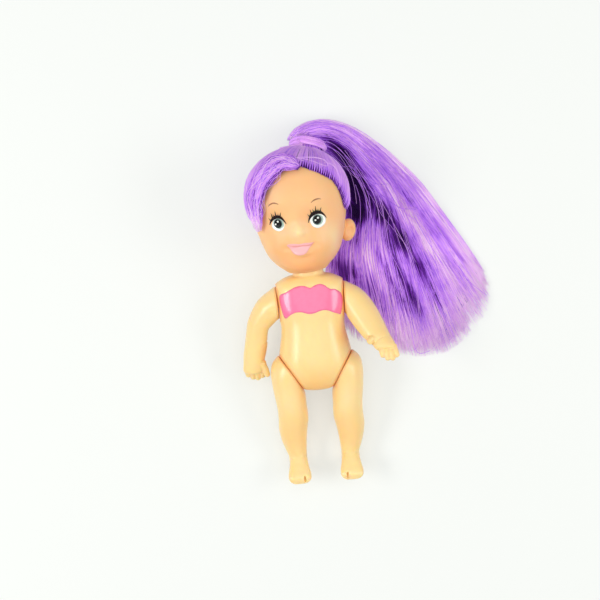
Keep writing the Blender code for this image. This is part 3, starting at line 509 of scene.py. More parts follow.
# down the length, half width, front depth, back depth
trunk_rows = (
    (-0.036, 0.4, 0.515, 0.515), (0.014, 0.418, 0.54, 0.54), (0.022, 0.52, 0.56, 0.56),
    (0.045, 0.73, 0.63, 0.62), (0.095, 0.95, 0.74, 0.72), (0.19, 1.02, 0.81, 0.79),
    (0.3, 1, 0.835, 0.815), (0.39, 0.88, 0.845, 0.82), (0.45, 0.85, 0.86, 0.83),
    (0.52, 0.868, 0.89, 0.85), (0.6, 0.918, 0.93, 0.89), (0.7, 0.975, 0.96, 0.945),
    (0.78, 1, 0.95, 0.97), (0.85, 0.97, 0.91, 0.97), (0.91, 0.85, 0.85, 0.93),
    (0.96, 0.62, 0.73, 0.83), (0.988, 0.44, 0.59, 0.7), (1, 0.3, 0.43, 0.54),
)


def trunk_ring(row):
    """A level section of the trunk, fuller in front than behind."""
    down, wide, front, back = row
    return [body_frame @ Vector((across * wide * torso_half_width, -down * torso_length,
                                 deep * (front if deep > 0 else back) * torso_half_depth))
            for across, deep in unit_ring(96, squareness=2.15)]


trunk = wrapped("trunk", [trunk_ring(row) for row in smooth_rows(trunk_rows, 4)])
hip_axis, shoulder_axis = ({RIGHT: Vector(joints["right_" + kind]["axis"]),
                            LEFT: -Vector(joints["left_" + kind]["axis"])}
                           for kind in ("hip", "shoulder"))
for side in (RIGHT, LEFT):
    cut_flat(trunk, hip_at[side], hip_axis[side])
    unselect_all()
    bpy.ops.mesh.primitive_cube_add(
        size=2 * pocket_reach, location=shoulder_at[side] + shoulder_axis[side] * pocket_reach,
        rotation=shoulder_axis[side].to_track_quat("Z", "Y").to_euler())
    cut_away(trunk, bpy.context.object)
fuse(trunk, [], trunk_voxel, rounds=3)
finished(trunk, "torso", "body_plastic", body_plastic, "front_body_shell", "back_body_shell")

# %% [markdown]
# ## Arms and hands
# Each arm is one moulding that ends in a small hand with four short fingers and a
# thumb. Its outline is drawn between an outer and an inner edge line, with a depth
# at each step, so the arm bends where the edges bend. The fingers are short
# tapered capsules laid side by side in the palm. The remesh fuses them and leaves
# shallow grooves between them, which is just what the mould leaves.

# %% Arms
arm_length, seam_gap, arm_voxel = 28.8 * MM, 0.15 * MM, 0.2 * MM
# outer across, outer up, inner across, inner up, half depth, forward shift
right_arm_rows = (
    (-0.1, 0.205, -0.1, -0.205, 0.205, 0), (0.012, 0.203, 0, -0.205, 0.205, 0),
    (0.125, 0.135, 0.02, -0.215, 0.198, 0), (0.245, 0.045, 0.05, -0.245, 0.183, 0),
    (0.34, -0.095, 0.095, -0.288, 0.164, 0), (0.403, -0.235, 0.142, -0.338, 0.148, 0.003),
    (0.435, -0.38, 0.168, -0.43, 0.138, 0.012), (0.466, -0.535, 0.182, -0.555, 0.128, 0.03),
    (0.492, -0.655, 0.215, -0.675, 0.112, 0.048), (0.5, -0.74, 0.238, -0.75, 0.103, 0.062),
    (0.512, -0.845, 0.225, -0.84, 0.092, 0.078), (0.478, -0.885, 0.262, -0.88, 0.068, 0.08),
)
left_arm_rows = (
    (-0.1, 0.205, -0.1, -0.205, 0.205, 0), (0.012, 0.203, 0, -0.205, 0.205, 0),
    (0.125, 0.145, 0.014, -0.232, 0.198, 0), (0.24, 0.062, 0.03, -0.285, 0.18, 0),
    (0.345, -0.09, 0.062, -0.355, 0.162, 0), (0.425, -0.275, 0.112, -0.45, 0.146, 0.004),
    (0.478, -0.45, 0.168, -0.55, 0.128, 0.014), (0.515, -0.575, 0.232, -0.64, 0.112, 0.026),
    (0.545, -0.66, 0.285, -0.7, 0.1, 0.036), (0.572, -0.745, 0.318, -0.765, 0.088, 0.046),
    (0.562, -0.795, 0.372, -0.8, 0.066, 0.05),
)
# root across, up, forward; tip across, up, forward; root radius, tip radius
right_fingers = (
    (0.458, -0.82, 0.08, 0.452, -0.948, 0.058, 0.046, 0.036),
    (0.4, -0.83, 0.086, 0.396, -0.985, 0.06, 0.047, 0.036),
    (0.34, -0.83, 0.086, 0.338, -1, 0.06, 0.047, 0.036),
    (0.282, -0.82, 0.082, 0.282, -0.975, 0.058, 0.045, 0.035),
    (0.268, -0.74, 0.1, 0.206, -0.945, 0.125, 0.048, 0.038),
)
left_fingers = (
    (0.538, -0.745, 0.05, 0.575, -0.905, 0.036, 0.044, 0.034),
    (0.492, -0.755, 0.055, 0.52, -0.945, 0.038, 0.045, 0.034),
    (0.44, -0.755, 0.055, 0.458, -0.94, 0.038, 0.045, 0.034),
    (0.392, -0.74, 0.05, 0.4, -0.895, 0.036, 0.043, 0.033),
    (0.32, -0.61, 0.07, 0.236, -0.712, 0.108, 0.05, 0.04),
)


def rail_rings(rows, size, side, sides, squareness, place):
    """Sections strung between an outer and an inner edge line."""
    rings = []
    for outer_x, outer_y, inner_x, inner_y, depth, forward in rows:
        outer = Vector((outer_x * side, outer_y, 0))
        inner = Vector((inner_x * side, inner_y, 0))
        centre = (outer + inner) / 2 + Vector((0, 0, forward))
        half = (outer - inner) / 2
        rings.append([place @ ((centre + half * across + Vector((0, 0, depth * deep))) * size)
                      for across, deep in unit_ring(sides, squareness)])
    return rings


finger_rings, finger_sides = 12, 16


def capsule(name, root, tip, root_radius, tip_radius, place):
    """A tapered finger with round ends."""
    along = (tip - root).normalized()
    sideways = along.cross(Vector((0, 0, 1))).normalized()
    third = along.cross(sideways)
    span = (tip - root).length
    rings = []
    for step in range(finger_rings + 1):
        t = step / finger_rings
        radius = root_radius + (tip_radius - root_radius) * t
        end = min(1.0, math.sqrt(max(0.0, 1 - max(0.0, (t - 0.78) / 0.22) ** 2)) + 0.02)
        knuckle = 1 + 0.05 * math.cos(4 * math.pi * t)
        rings.append([place @ (root + along * (span * t)
                               + (sideways * math.cos(a) + third * math.sin(a))
                               * radius * end * knuckle)
                      for a in (2 * math.pi * k / finger_sides for k in range(finger_sides))])
    return wrapped(name, rings)


def crease(piece, place, along, reach, depth, width):
    """Press a soft groove into a piece where a plane crosses it."""
    normals = [vertex.normal.copy() for vertex in piece.data.vertices]
    for vertex, normal in zip(piece.data.vertices, normals):
        offset = vertex.co - place
        level = offset.dot(along)
        fade = max(0.0, 1 - (offset.length / reach) ** 2)
        vertex.co -= normal * depth * fade * math.exp(-(level / width) ** 2)


def make_arm(name, side, rows, fingers, lift):
    """One arm with its hand, flat where it turns on the body."""
    place = (Matrix.Translation(shoulder_at[side])
             @ Matrix.Rotation(lift, 4, -side * shoulder_axis[side]) @ turn_to_body)
    arm = wrapped(name, rail_rings(smooth_rows(rows, 5), arm_length, side, 48, 2.0, place))
    digits = []
    for index, row in enumerate(fingers):
        root = Vector((row[0] * side, row[1], row[2])) * arm_length
        tip = Vector((row[3] * side, row[4], row[5])) * arm_length
        digits.append(capsule("%s_digit_%d" % (name, index), root, tip, row[6] * arm_length,
                              row[7] * arm_length, place))
    cut_flat(arm, shoulder_at[side] + shoulder_axis[side] * seam_gap, -shoulder_axis[side])
    return fuse(arm, digits, arm_voxel, rounds=2), place


# side, edges, fingers, swing forward in degrees; the crease's place in arm lengths, the
# direction across it, its depth and its width in mm
arm_plans = {
    "right_arm": (RIGHT, right_arm_rows, right_fingers, -12.0,
                  (-0.20, -0.50, 0.02), (0.35, -1, 0), 0.3, 0.35),
    "left_arm": (LEFT, left_arm_rows, left_fingers, 36.0,
                 (0.40, -0.665, 0.03), (0.45, -1, 0), 0.28, 0.3),
}
crease_reach = 4.5 * MM
for name, (side, rows, fingers, lift, at, across, depth, width) in arm_plans.items():
    arm, place = make_arm(name + "_skin", side, rows, fingers, math.radians(lift))
    crease(arm, place @ (Vector(at) * arm_length),
           (place.to_3x3() @ Vector(across)).normalized(), crease_reach, depth * MM, width * MM)
    finished(arm, name, "body_plastic", body_plastic, name)

# %% [markdown]
# ## Legs and feet
# The legs are straight and chubby, flat where they turn on the sloping hip discs,
# and drawn in a little above the knee. Each ends in a small flat-soled foot that
# points down and forward, with one cleft beside the big toe. The foot is a loft
# from heel to toe, laid into the ankle; the cleft is pressed in by a thin block.

# %% Legs
leg_length, leg_voxel, leg_fine_voxel = 40.2 * MM, 0.26 * MM, 0.24 * MM
# outer across, outer up, inner across, inner up, half depth, forward shift
leg_rows = (
    (0.038, 0.194, -0.164, -0.134, 0.189, 0), (0.102, 0.16, -0.099, -0.161, 0.189, 0),
    (0.168, 0.09, -0.104, -0.2, 0.178, 0.002), (0.188, -0.015, -0.108, -0.245, 0.166, 0.006),
    (0.178, -0.16, -0.109, -0.3, 0.154, 0.01), (0.158, -0.32, -0.113, -0.375, 0.143, 0.008),
    (0.156, -0.43, -0.112, -0.45, 0.134, -0.002), (0.161, -0.515, -0.098, -0.52, 0.126, -0.014),
    (0.148, -0.61, -0.084, -0.61, 0.118, -0.024), (0.122, -0.7, -0.075, -0.7, 0.104, -0.026),
    (0.094, -0.775, -0.07, -0.775, 0.092, -0.022), (0.092, -0.84, -0.072, -0.84, 0.09, -0.014),
    (0.078, -0.878, -0.06, -0.878, 0.072, -0.008),
)
foot_length, foot_half_width, foot_height = 12.6 * MM, 4.1 * MM, 6.4 * MM
foot_point = math.radians(25.0)
cleft_width, cleft_depth = 0.68 * MM, 2.3 * MM
heel_out, heel_down, heel_back = 0.35 * MM, 0.871, 0.129
# along the sole, half width, height above the sole
foot_rows = (
    (0, 0.33, 0.3), (0.035, 0.52, 0.52), (0.12, 0.72, 0.82), (0.26, 0.8, 1), (0.42, 0.82, 1),
    (0.58, 0.9, 0.8), (0.74, 1, 0.63), (0.88, 1, 0.52), (0.96, 0.85, 0.43), (1, 0.56, 0.3),
)


def make_leg(name, side):
    """One leg with its foot."""
    place = Matrix.Translation(hip_at[side]) @ turn_to_body
    leg = wrapped(name, rail_rings(smooth_rows(leg_rows, 5), leg_length, side, 56, 2.1, place))
    along = Vector((0, -math.sin(foot_point), math.cos(foot_point)))
    up = Vector((0, math.cos(foot_point), math.sin(foot_point)))
    heel = Vector((side * heel_out, -heel_down * leg_length, -heel_back * leg_length))
    rings = []
    for share, wide, tall in smooth_rows(foot_rows, 4):
        centre = heel + along * (share * foot_length)
        rings.append([place @ (centre + Vector((across * wide * foot_half_width, 0, 0))
                               + up * (max(0.0, 0.5 + 0.58 * deep) * tall * foot_height))
                      for across, deep in unit_ring(48, squareness=2.5)])
    foot = wrapped(name + "_foot", rings)
    middle = place @ (heel + Vector((-side * foot_half_width * 0.42, 0, 0))
                      + along * (foot_length * 1.02) + up * (foot_height * 0.45))
    unselect_all()
    bpy.ops.mesh.primitive_cube_add(size=1.0, location=middle)
    blade = bpy.context.object
    blade.scale = (cleft_width, cleft_depth, foot_height * 0.75)
    blade.rotation_euler = (turn_to_body @ Matrix.Rotation(-foot_point, 4, "X")).to_euler()
    cut_flat(leg, hip_at[side] + hip_axis[side] * seam_gap, -hip_axis[side])
    one_skin(leg, [foot], leg_voxel)
    cut_away(leg, blade)
    return fuse(leg, [], leg_fine_voxel, rounds=3)


for name, side in (("right_leg", RIGHT), ("left_leg", LEFT)):
    finished(make_leg(name + "_skin", side), name, "body_plastic", body_plastic, name)

# %% [markdown]
# ## The head
# The head is a large soft ball that narrows to the chin. The face has almost no
# relief: a button nose, full cheeks, a soft chin, a hint of lips and shallow
# dishes for the eyes. Sculpting such faint swellings by hand is hard to repeat, so
# the skull is a loft and each feature is a soft bump added along the ray from the
# head's middle. The ears are dished ovals, fused on by the remesh.

# %% Head
head_height, head_half_width, head_half_depth = 43.8 * MM, 17.3 * MM, 19.3 * MM
# up the height, half width, front depth, back depth
head_rows = (
    (0.026, 0.405, 0.44, 0.405), (0.04, 0.44, 0.51, 0.44), (0.064, 0.5, 0.63, 0.52),
    (0.096, 0.59, 0.73, 0.63), (0.137, 0.676, 0.788, 0.715), (0.187, 0.757, 0.819, 0.793),
    (0.281, 0.838, 0.834, 0.891), (0.388, 0.913, 0.845, 0.953), (0.457, 0.954, 0.85, 0.979),
    (0.594, 1, 0.896, 1), (0.685, 0.994, 0.894, 0.995), (0.776, 0.925, 0.83, 0.922),
    (0.845, 0.821, 0.744, 0.808), (0.913, 0.636, 0.585, 0.632), (0.959, 0.434, 0.415, 0.44),
    (0.986, 0.231, 0.233, 0.233), (1, 0.03, 0.03, 0.03),
)
face_size = 44.5 * MM
# across, up, spread across, spread up, height in mm, on both sides or not
face_bumps = (
    (0.008, 0.384, 0.048, 0.044, 1.65, False), (0.01, 0.44, 0.03, 0.06, 0.5, False),
    (0.195, 0.265, 0.105, 0.1, 1.2, True), (0, 0.11, 0.11, 0.055, 0.9, False),
    (0.006, 0.29, 0.085, 0.018, 0.55, False), (0.006, 0.215, 0.062, 0.03, 1.05, False),
    (0.006, 0.262, 0.095, 0.01, -0.45, False), (0.118, 0.272, 0.02, 0.024, -0.4, True),
    (0.153, 0.45, 0.07, 0.062, -0.55, True), (0.16, 0.61, 0.11, 0.05, 0.4, True),
    (0.006, 0.175, 0.07, 0.018, -0.35, False),
)
head_middle = Vector((0, head_height * 0.5, 0))
fine_head_rows = smooth_rows(head_rows, 6)


def face_relief(point):
    """How far the face stands out of the plain skull at a point."""
    if point.z <= 0:
        return 0.0
    relief = 0.0
    for across, up, wide, tall, height, mirrored in face_bumps:
        for centre in ((across, -across) if mirrored else (across,)):
            relief += height * MM * math.exp(
                -((point.x / face_size - centre) / wide) ** 2
                - ((point.y / face_size - up) / tall) ** 2)
    return relief * min(1.0, point.z / (head_half_depth / 2))


def head_ring(row, faced):
    """A level section of the head, with or without the features of the face."""
    up, wide, front, back = row
    ring = []
    for across, deep in unit_ring(180, squareness=2.06, density=0.25):
        point = Vector((across * wide * head_half_width, up * head_height,
                        deep * (front if deep > 0 else back) * head_half_depth))
        if faced:
            point += (point - head_middle).normalized() * face_relief(point)
        ring.append(head_frame @ point)
    return ring


skull = wrapped("skull", [head_ring(row, False) for row in fine_head_rows])
skull_tree = BVHTree.FromObject(skull, bpy.context.evaluated_depsgraph_get())
bpy.data.objects.remove(skull)
head = wrapped("head_skin", [head_ring(row, True) for row in fine_head_rows])
print("levels up the head:", len(fine_head_rows))

# %% Ears and the recess for the neck
ear_level, ear_back, ear_turn = 0.282, -6.0 * MM, math.radians(14.0)
ear_wide, ear_tall, ear_thick, ear_dish = 5.6 * MM, 8.2 * MM, 4.8 * MM, 1.1 * MM


def ear(side, stand_out):
    """A rounded ear, dished towards the front."""
    unselect_all()
    bpy.ops.mesh.primitive_uv_sphere_add(segments=48, ring_count=32, radius=0.5)
    made = bpy.context.object
    wide = next(row[1] for row in fine_head_rows if row[0] >= ear_level) * head_half_width
    place = (head_frame @ Matrix.Translation((side * (wide + stand_out),
                                              ear_level * head_height, ear_back))
             @ Matrix.Rotation(-side * ear_turn, 4, "Z"))
    for vertex in made.data.vertices:
        x, y, z = vertex.co
        out = (x * side * 0.8 + z * 0.6)
        inside = max(0.0, 1 - ((x * side - 0.18) ** 2 + y * y * 0.9) / 0.060) if out > 0.1 else 0
        vertex.co = place @ Vector((x * ear_wide, y * ear_tall,
                                    z * ear_thick - inside * ear_dish))
    return made


ears = [ear(RIGHT, -1.8 * MM), ear(LEFT, 1.1 * MM)]
recess_radius, recess_depth, head_voxel = 6.1 * MM, 4.0 * MM, 0.30 * MM
unselect_all()
bpy.ops.mesh.primitive_cylinder_add(vertices=64, radius=recess_radius, depth=recess_depth)
recess = bpy.context.object
recess.data.transform(head_frame @ Matrix.Translation((0, 0.2 * MM, 0))
                      @ Matrix.Rotation(math.radians(-90), 4, "X"))
cut_away(head, recess)
fuse(head, ears, head_voxel, rounds=3)
finished(head, "head", "head_vinyl", head_vinyl, "head_shell")
head_tree = BVHTree.FromObject(head, bpy.context.evaluated_depsgraph_get())
trunk_tree = BVHTree.FromObject(trunk, bpy.context.evaluated_depsgraph_get())

# %% [markdown]
# ## Painted details
# The eyes, brows, lips and the pink top are paint, printed on with crisp edges.
# They could be masks in the shader, but a baked picture would blur them. Thin
# patches keep every edge sharp: an outline is drawn in the head's own plane,
# filled with small triangles, laid on the surface by casting a ray at each point,
# and given a hair's thickness.

# %% Patches of paint
def rounded(outline, steps=6):
    """A closed smooth curve through the corners of an outline."""
    count = len(outline)
    points = []
    for index in range(count):
        before, start = outline[index - 1], outline[index]
        end, after = outline[(index + 1) % count], outline[(index + 2) % count]
        for step in range(steps):
            points.append(tuple(spline(*around, step / steps)
                                for around in zip(before, start, end, after)))
    return points


def stroke(line, widths, steps=6):
    """The outline of a brush stroke along a line, with a width at each point."""
    rows = smooth_rows([(*point, width) for point, width in zip(line, widths)], steps)
    left, right = [], []
    for index, (x, y, width) in enumerate(rows):
        ahead = rows[min(index + 1, len(rows) - 1)]
        behind = rows[max(index - 1, 0)]
        run = Vector((ahead[0] - behind[0], ahead[1] - behind[1])).normalized()
        reach = max(width, 0.02) / 2
        left.append((x - run.y * reach, y + run.x * reach))
        right.append((x + run.y * reach, y - run.x * reach))
    return left + right[::-1]


def disc(x, y, wide, tall, sides=40):
    """The outline of a dot of paint."""
    return [(x + wide * math.cos(2 * math.pi * k / sides),
             y + tall * math.sin(2 * math.pi * k / sides)) for k in range(sides)]


paint_thickness, cast_from, closest_points = 0.015 * MM, 60 * MM, 0.0001


def painted(name, outlines, place, surface, lift, spacing, material, body, slot):
    """A thin patch laid on a surface. Outlines, lift and spacing are in mm."""
    build = bmesh.new()
    inverse_front = (place.to_3x3() @ Vector((0, 0, -1))).normalized()
    for outline in outlines:
        points = [Vector(point) for point in outline]
        count = len(points)
        edges = [(k, (k + 1) % count) for k in range(count)]
        xs, ys = [p.x for p in points], [p.y for p in points]
        for x in np.arange(min(xs), max(xs), spacing):
            for y in np.arange(min(ys), max(ys), spacing):
                if min((Vector((x, y)) - p).length for p in points) > spacing * 0.5:
                    points.append(Vector((x, y)))
        spots, _, faces, *_ = geometry.delaunay_2d_cdt(points, edges, [], 1, closest_points)
        made = []
        for spot in spots:
            start = place @ Vector((spot.x * MM, spot.y * MM, cast_from))
            hit, normal, _, _ = surface.ray_cast(start, inverse_front)
            made.append(build.verts.new(hit + normal * lift * MM) if hit else None)
        for face in faces:
            corners = [made[k] for k in face]
            if all(corners):
                build.faces.new(corners)
    loose = [vertex for vertex in build.verts if not vertex.link_faces]
    bmesh.ops.delete(build, geom=loose, context="VERTS")
    for face in build.faces:
        face.normal_update()
        if face.normal.dot(inverse_front) > 0:
            face.normal_flip()
    mesh = bpy.data.meshes.new(name)
    build.to_mesh(mesh)
    build.free()
    patch = bpy.data.objects.new(name, mesh)
    bpy.context.scene.collection.objects.link(patch)
    apply_modifier(patch, "SOLIDIFY", thickness=paint_thickness, offset=-1.0)
    bpy.ops.object.shade_smooth()
    return finished(patch, body, slot, material)


def on_face(name, outlines, lift, material, spacing=0.4):
    """Paint on the head, drawn in the head's own plane."""
    return painted(name, outlines, head_frame, head_tree, lift, spacing, material, "head",
                   "head_vinyl")


print("a disc of paint has", len(disc(0, 0, 1, 1)), "corners")

# %% Paints
def paint(name, colour, second, roughness, coat=0.6):
    """Printed paint: a little uneven in tone and gloss."""
    material, shader, place = new_material(name)
    uneven = place.noise(700, 3)
    amount = (uneven * 2.0 - 0.6).clamped()
    feed(shader, Base_Color=amount.mixed(linear(*colour), linear(*second)),
         Roughness=uneven * 0.1 + (roughness - 0.05), Normal=uneven.bumps(0.15, 0.03 * MM),
         Coat_Weight=coat, Coat_Roughness=0.12)
    return material


# the darks have little coat and sheen, or the room's reflection would turn them grey
dull = 0.08
eye_white = paint("eye_white", (250, 252, 246), (240, 248, 240), 0.3)
iris_green = paint("iris_green", (176, 200, 184), (160, 188, 172), 0.3)
iris_dark = paint("iris_dark", (90, 108, 106), (68, 84, 82), 0.28, dull)
pupil_black = paint("pupil_black", (12, 12, 14), (20, 20, 22), 0.25, dull)
lid_black = paint("lid_black", (24, 12, 14), (40, 18, 20), 0.35, dull)
brow_brown = paint("brow_brown", (176, 118, 74), (160, 100, 62), 0.45)
lip_pink = paint("lip_pink", (250, 184, 186), (248, 178, 180), 0.4)
lip_line = paint("lip_line", (244, 164, 158), (242, 158, 150), 0.4)
top_pink = paint("top_pink", (252, 121, 165), (250, 114, 158), 0.30)
for dark in (iris_dark, pupil_black, lid_black):
    feed(dark.node_tree.nodes["Principled BSDF"], Specular_IOR_Level=0.2)
print("paints:", [one.name for one in (eye_white, iris_green, iris_dark, pupil_black, lid_black,
                                       brow_brown, lip_pink, lip_line, top_pink)])

# %% [markdown]
# ## The eyes
# Each eye is a white oval under a thick black lid with long pointed lashes. The
# iris is nearly all pupil, ringed by a thin green edge, and two white dots of
# reflected light are printed on it. The layers are stacked like the printer's
# passes, each a few hundredths of a millimetre above the last.

# %% Eyes
# white's outline; iris centre; dots; lid's lower and upper edge; lashes: root, tip, width
eye_plans = {
    "right_eye": {
        "white": ((-8.9, 20.4), (-8.1, 21.7), (-6.7, 22.4), (-5.3, 22.0), (-4.5, 20.9),
                  (-4.4, 19.6), (-5.2, 18.3), (-6.6, 17.8), (-8.0, 18.3), (-8.8, 19.3)),
        "iris": (-6.55, 20.5, 1.55, 1.72),
        "dots": ((-6.5, 21.2, 0.36), (-7.45, 20.3, 0.32)),
        "lid": (((-9.6, 20.3), (-8.95, 21.5), (-7.9, 22.5), (-6.6, 22.95), (-5.3, 22.55),
                 (-4.3, 21.4), (-3.6, 20.1)),
                (0.18, 0.6, 1.1, 1.25, 1.0, 0.5, 0.12)),
        "lashes": (((-8.1, 22.6), (-8.4, 24.5), 0.62), ((-6.8, 23.0), (-6.9, 25.2), 0.66),
                   ((-5.5, 22.8), (-4.9, 24.5), 0.60), ((-7.5, 22.9), (-7.8, 24.1), 0.5),
                   ((-6.1, 23.0), (-5.9, 24.1), 0.5), ((-8.9, 21.7), (-9.7, 22.9), 0.45)),
    },
    "left_eye": {
        "white": ((4.6, 19.7), (5.1, 21.0), (6.4, 21.9), (7.8, 21.9), (9.1, 21.3),
                  (9.9, 20.0), (9.7, 18.6), (8.6, 17.5), (7.0, 17.1), (5.4, 17.9)),
        "iris": (7.0, 20.0, 1.55, 1.75),
        "dots": ((7.4, 20.6, 0.36), (6.4, 19.9, 0.32)),
        "lid": (((3.9, 19.4), (4.55, 20.9), (5.5, 22.0), (6.9, 22.6), (8.3, 22.4),
                 (9.4, 21.5), (10.2, 20.1)),
                (0.16, 0.6, 1.2, 1.4, 1.1, 0.55, 0.14)),
        "lashes": (((5.6, 22.2), (5.2, 24.1), 0.62), ((7.0, 22.7), (7.2, 25.1), 0.68),
                   ((8.3, 22.5), (9.0, 24.2), 0.62), ((6.3, 22.6), (6.1, 24.0), 0.5),
                   ((7.7, 22.7), (7.9, 23.9), 0.5), ((4.8, 21.3), (4.1, 22.6), 0.45)),
    },
}
for name, plan in eye_plans.items():
    x, y, wide, tall = plan["iris"]
    layers = (
        ("white", [rounded(plan["white"])], 0.03, eye_white),
        ("glow", [disc(x + 0.30, y - 0.08, wide + 0.26, tall + 0.14)], 0.05, iris_green),
        ("iris", [disc(x, y, wide, tall)], 0.07, iris_dark),
        ("pupil", [disc(x, y, wide * 0.80, tall * 0.84)], 0.09, pupil_black),
        ("dots", [disc(u, v, r, r, 20) for u, v, r in plan["dots"]], 0.12, eye_white),
        ("lid", [stroke(*plan["lid"])], 0.11, lid_black),
        ("lashes", [stroke((root, ((root[0] * 0.45 + tip[0] * 0.55),
                                   (root[1] + tip[1]) / 2), tip),
                           (width, width * 0.45, 0.03)) for root, tip, width
                    in plan["lashes"]], 0.13, lid_black),
    )
    for layer, outlines, lift, material in layers:
        on_face("%s_%s" % (name, layer), outlines, lift, material)
print("painted layers on each eye:", len(layers))

# %% [markdown]
# ## Brows and lips
# The brows are thin, light strokes. The mouth is a small smile: one pink shape
# that is narrow above and full below, with a slightly deeper line where the lips
# meet.

# %% Brows and lips
brows = {
    "right_brow": (((-9.0, 26.9), (-8.1, 27.6), (-7.0, 27.9), (-6.0, 27.7), (-5.2, 27.3)),
                   (0.12, 0.42, 0.5, 0.42, 0.15)),
    "left_brow": (((5.9, 26.3), (6.8, 26.9), (7.8, 27.2), (8.7, 27.2), (9.5, 26.9)),
                  (0.15, 0.42, 0.5, 0.38, 0.1)),
}
for name, line in brows.items():
    on_face(name, [stroke(*line)], 0.03, brow_brown)
lips = ((-4.6, 12.7), (-3.2, 13.0), (-1.6, 12.9), (0.0, 12.6), (1.6, 12.75), (3.2, 12.6),
        (4.7, 12.4), (3.9, 11.5), (3.1, 10.7), (2.4, 9.8), (1.4, 9.0), (0.1, 8.7),
        (-1.3, 8.85), (-2.5, 9.5), (-3.2, 10.6), (-3.9, 11.8))
lips_meet = (((-4.0, 12.6), (-2.6, 12.1), (-1.0, 11.9), (0.6, 11.85), (2.4, 11.75),
              (3.8, 11.9), (5.0, 12.5)), (0.12, 0.4, 0.5, 0.5, 0.45, 0.35, 0.12))
lips_made = on_face("lips", [rounded(lips)], 0.03, lip_pink)
on_face("lip_line", [stroke(*lips_meet)], 0.05, lip_line, spacing=0.35)
print("size of the lips in mm:", in_mm(*lips_made.dimensions))

# %% [markdown]
# ## The painted top
# The top is a band of pink paint with a scalloped upper edge, printed straight on
# the chest from one arm seam to the other. It shares the body's curve and its
# gloss, so it is the same kind of patch, laid on the trunk.

# %% Top
top_outline = (
    (-10.9, -6.9), (-8.9, -5.8), (-7.4, -5.0), (-5.6, -4.1), (-4.2, -3.7), (-3.0, -3.6),
    (-1.6, -3.8), (0.2, -4.5), (1.8, -3.8), (3.7, -3.5), (5.3, -4.1), (6.3, -5.0),
    (7.4, -5.7), (9.0, -6.0), (10.8, -7.6), (11.3, -10.0), (10.9, -12.7), (10.2, -15.2),
    (9.2, -14.9), (7.4, -14.0), (6.0, -13.2), (4.3, -12.8), (2.7, -13.0), (1.1, -13.5),
    (-0.6, -13.7), (-2.1, -13.4), (-3.4, -12.9), (-4.5, -12.8), (-5.8, -12.9),
    (-7.6, -13.7), (-9.6, -15.0), (-10.7, -11.5))
top = painted("painted_top", [rounded(top_outline, 4)], body_frame, trunk_tree, 0.03, 0.6,
              top_pink, "torso", "body_plastic")
print("size of the top in mm:", in_mm(*top.dimensions))

# %% [markdown]
# ## Hair
# The hair is some thousands of straight nylon fibres, rooted in small tufts along
# the hairline, combed up into a high side ponytail and spread over the table.
# Blender's particle hair would not be exported, so each visible strand is a thin
# three-sided tube in one mesh, and it carries a number, its tone, that the
# material reads to make it paler or darker. Besides the fibres' own uneven tone,
# this number carries much painted light and shade. Strands lie in locks, because
# locks make the streaks of light and shadow that say hair. A dark form under them
# keeps the skin and the table from showing through, and its dark tone is painted shade.

# %% Strand helpers
seed = 7
dice = np.random.default_rng(seed)


def spans(least, most, count):
    """One draw for each of some strands, as a column."""
    return dice.uniform(least, most, (count, 1))


def unit(vectors):
    """The same directions, each of length one."""
    return vectors / np.maximum(np.linalg.norm(vectors, axis=-1, keepdims=True), 1e-12)


def curve_through(rows, samples):
    """Points on smooth curves through rows of points: (strands, rows, 3) in and out."""
    count = rows.shape[1]
    spots = np.linspace(0, count - 1 - 1e-9, samples)
    low = np.floor(spots).astype(int)
    around = (rows[:, np.clip(low + shift, 0, count - 1)] for shift in (-1, 0, 1, 2))
    return spline(*around, (spots - low)[None, :, None])


def evened(paths, samples):
    """The same paths with their points spaced evenly along them."""
    steps = np.linalg.norm(np.diff(paths, axis=1), axis=2)
    length = np.concatenate([np.zeros((len(paths), 1)), np.cumsum(steps, axis=1)], axis=1)
    wanted = np.linspace(0, 1, samples)
    return np.stack([np.stack([np.interp(wanted * reach[-1], reach, path[:, axis])
                               for axis in range(3)], axis=1)
                     for path, reach in zip(paths, length)])


def give_tone(mesh, values):
    """Write the number that the hair material reads on every point."""
    tone = mesh.attributes.new("tone", "FLOAT", "POINT")
    tone.data.foreach_set("value", values.astype(np.float32))


def outwards(paths, middle):
    """The directions in which the points of paths lie from a middle."""
    return unit(paths - np.array(middle))


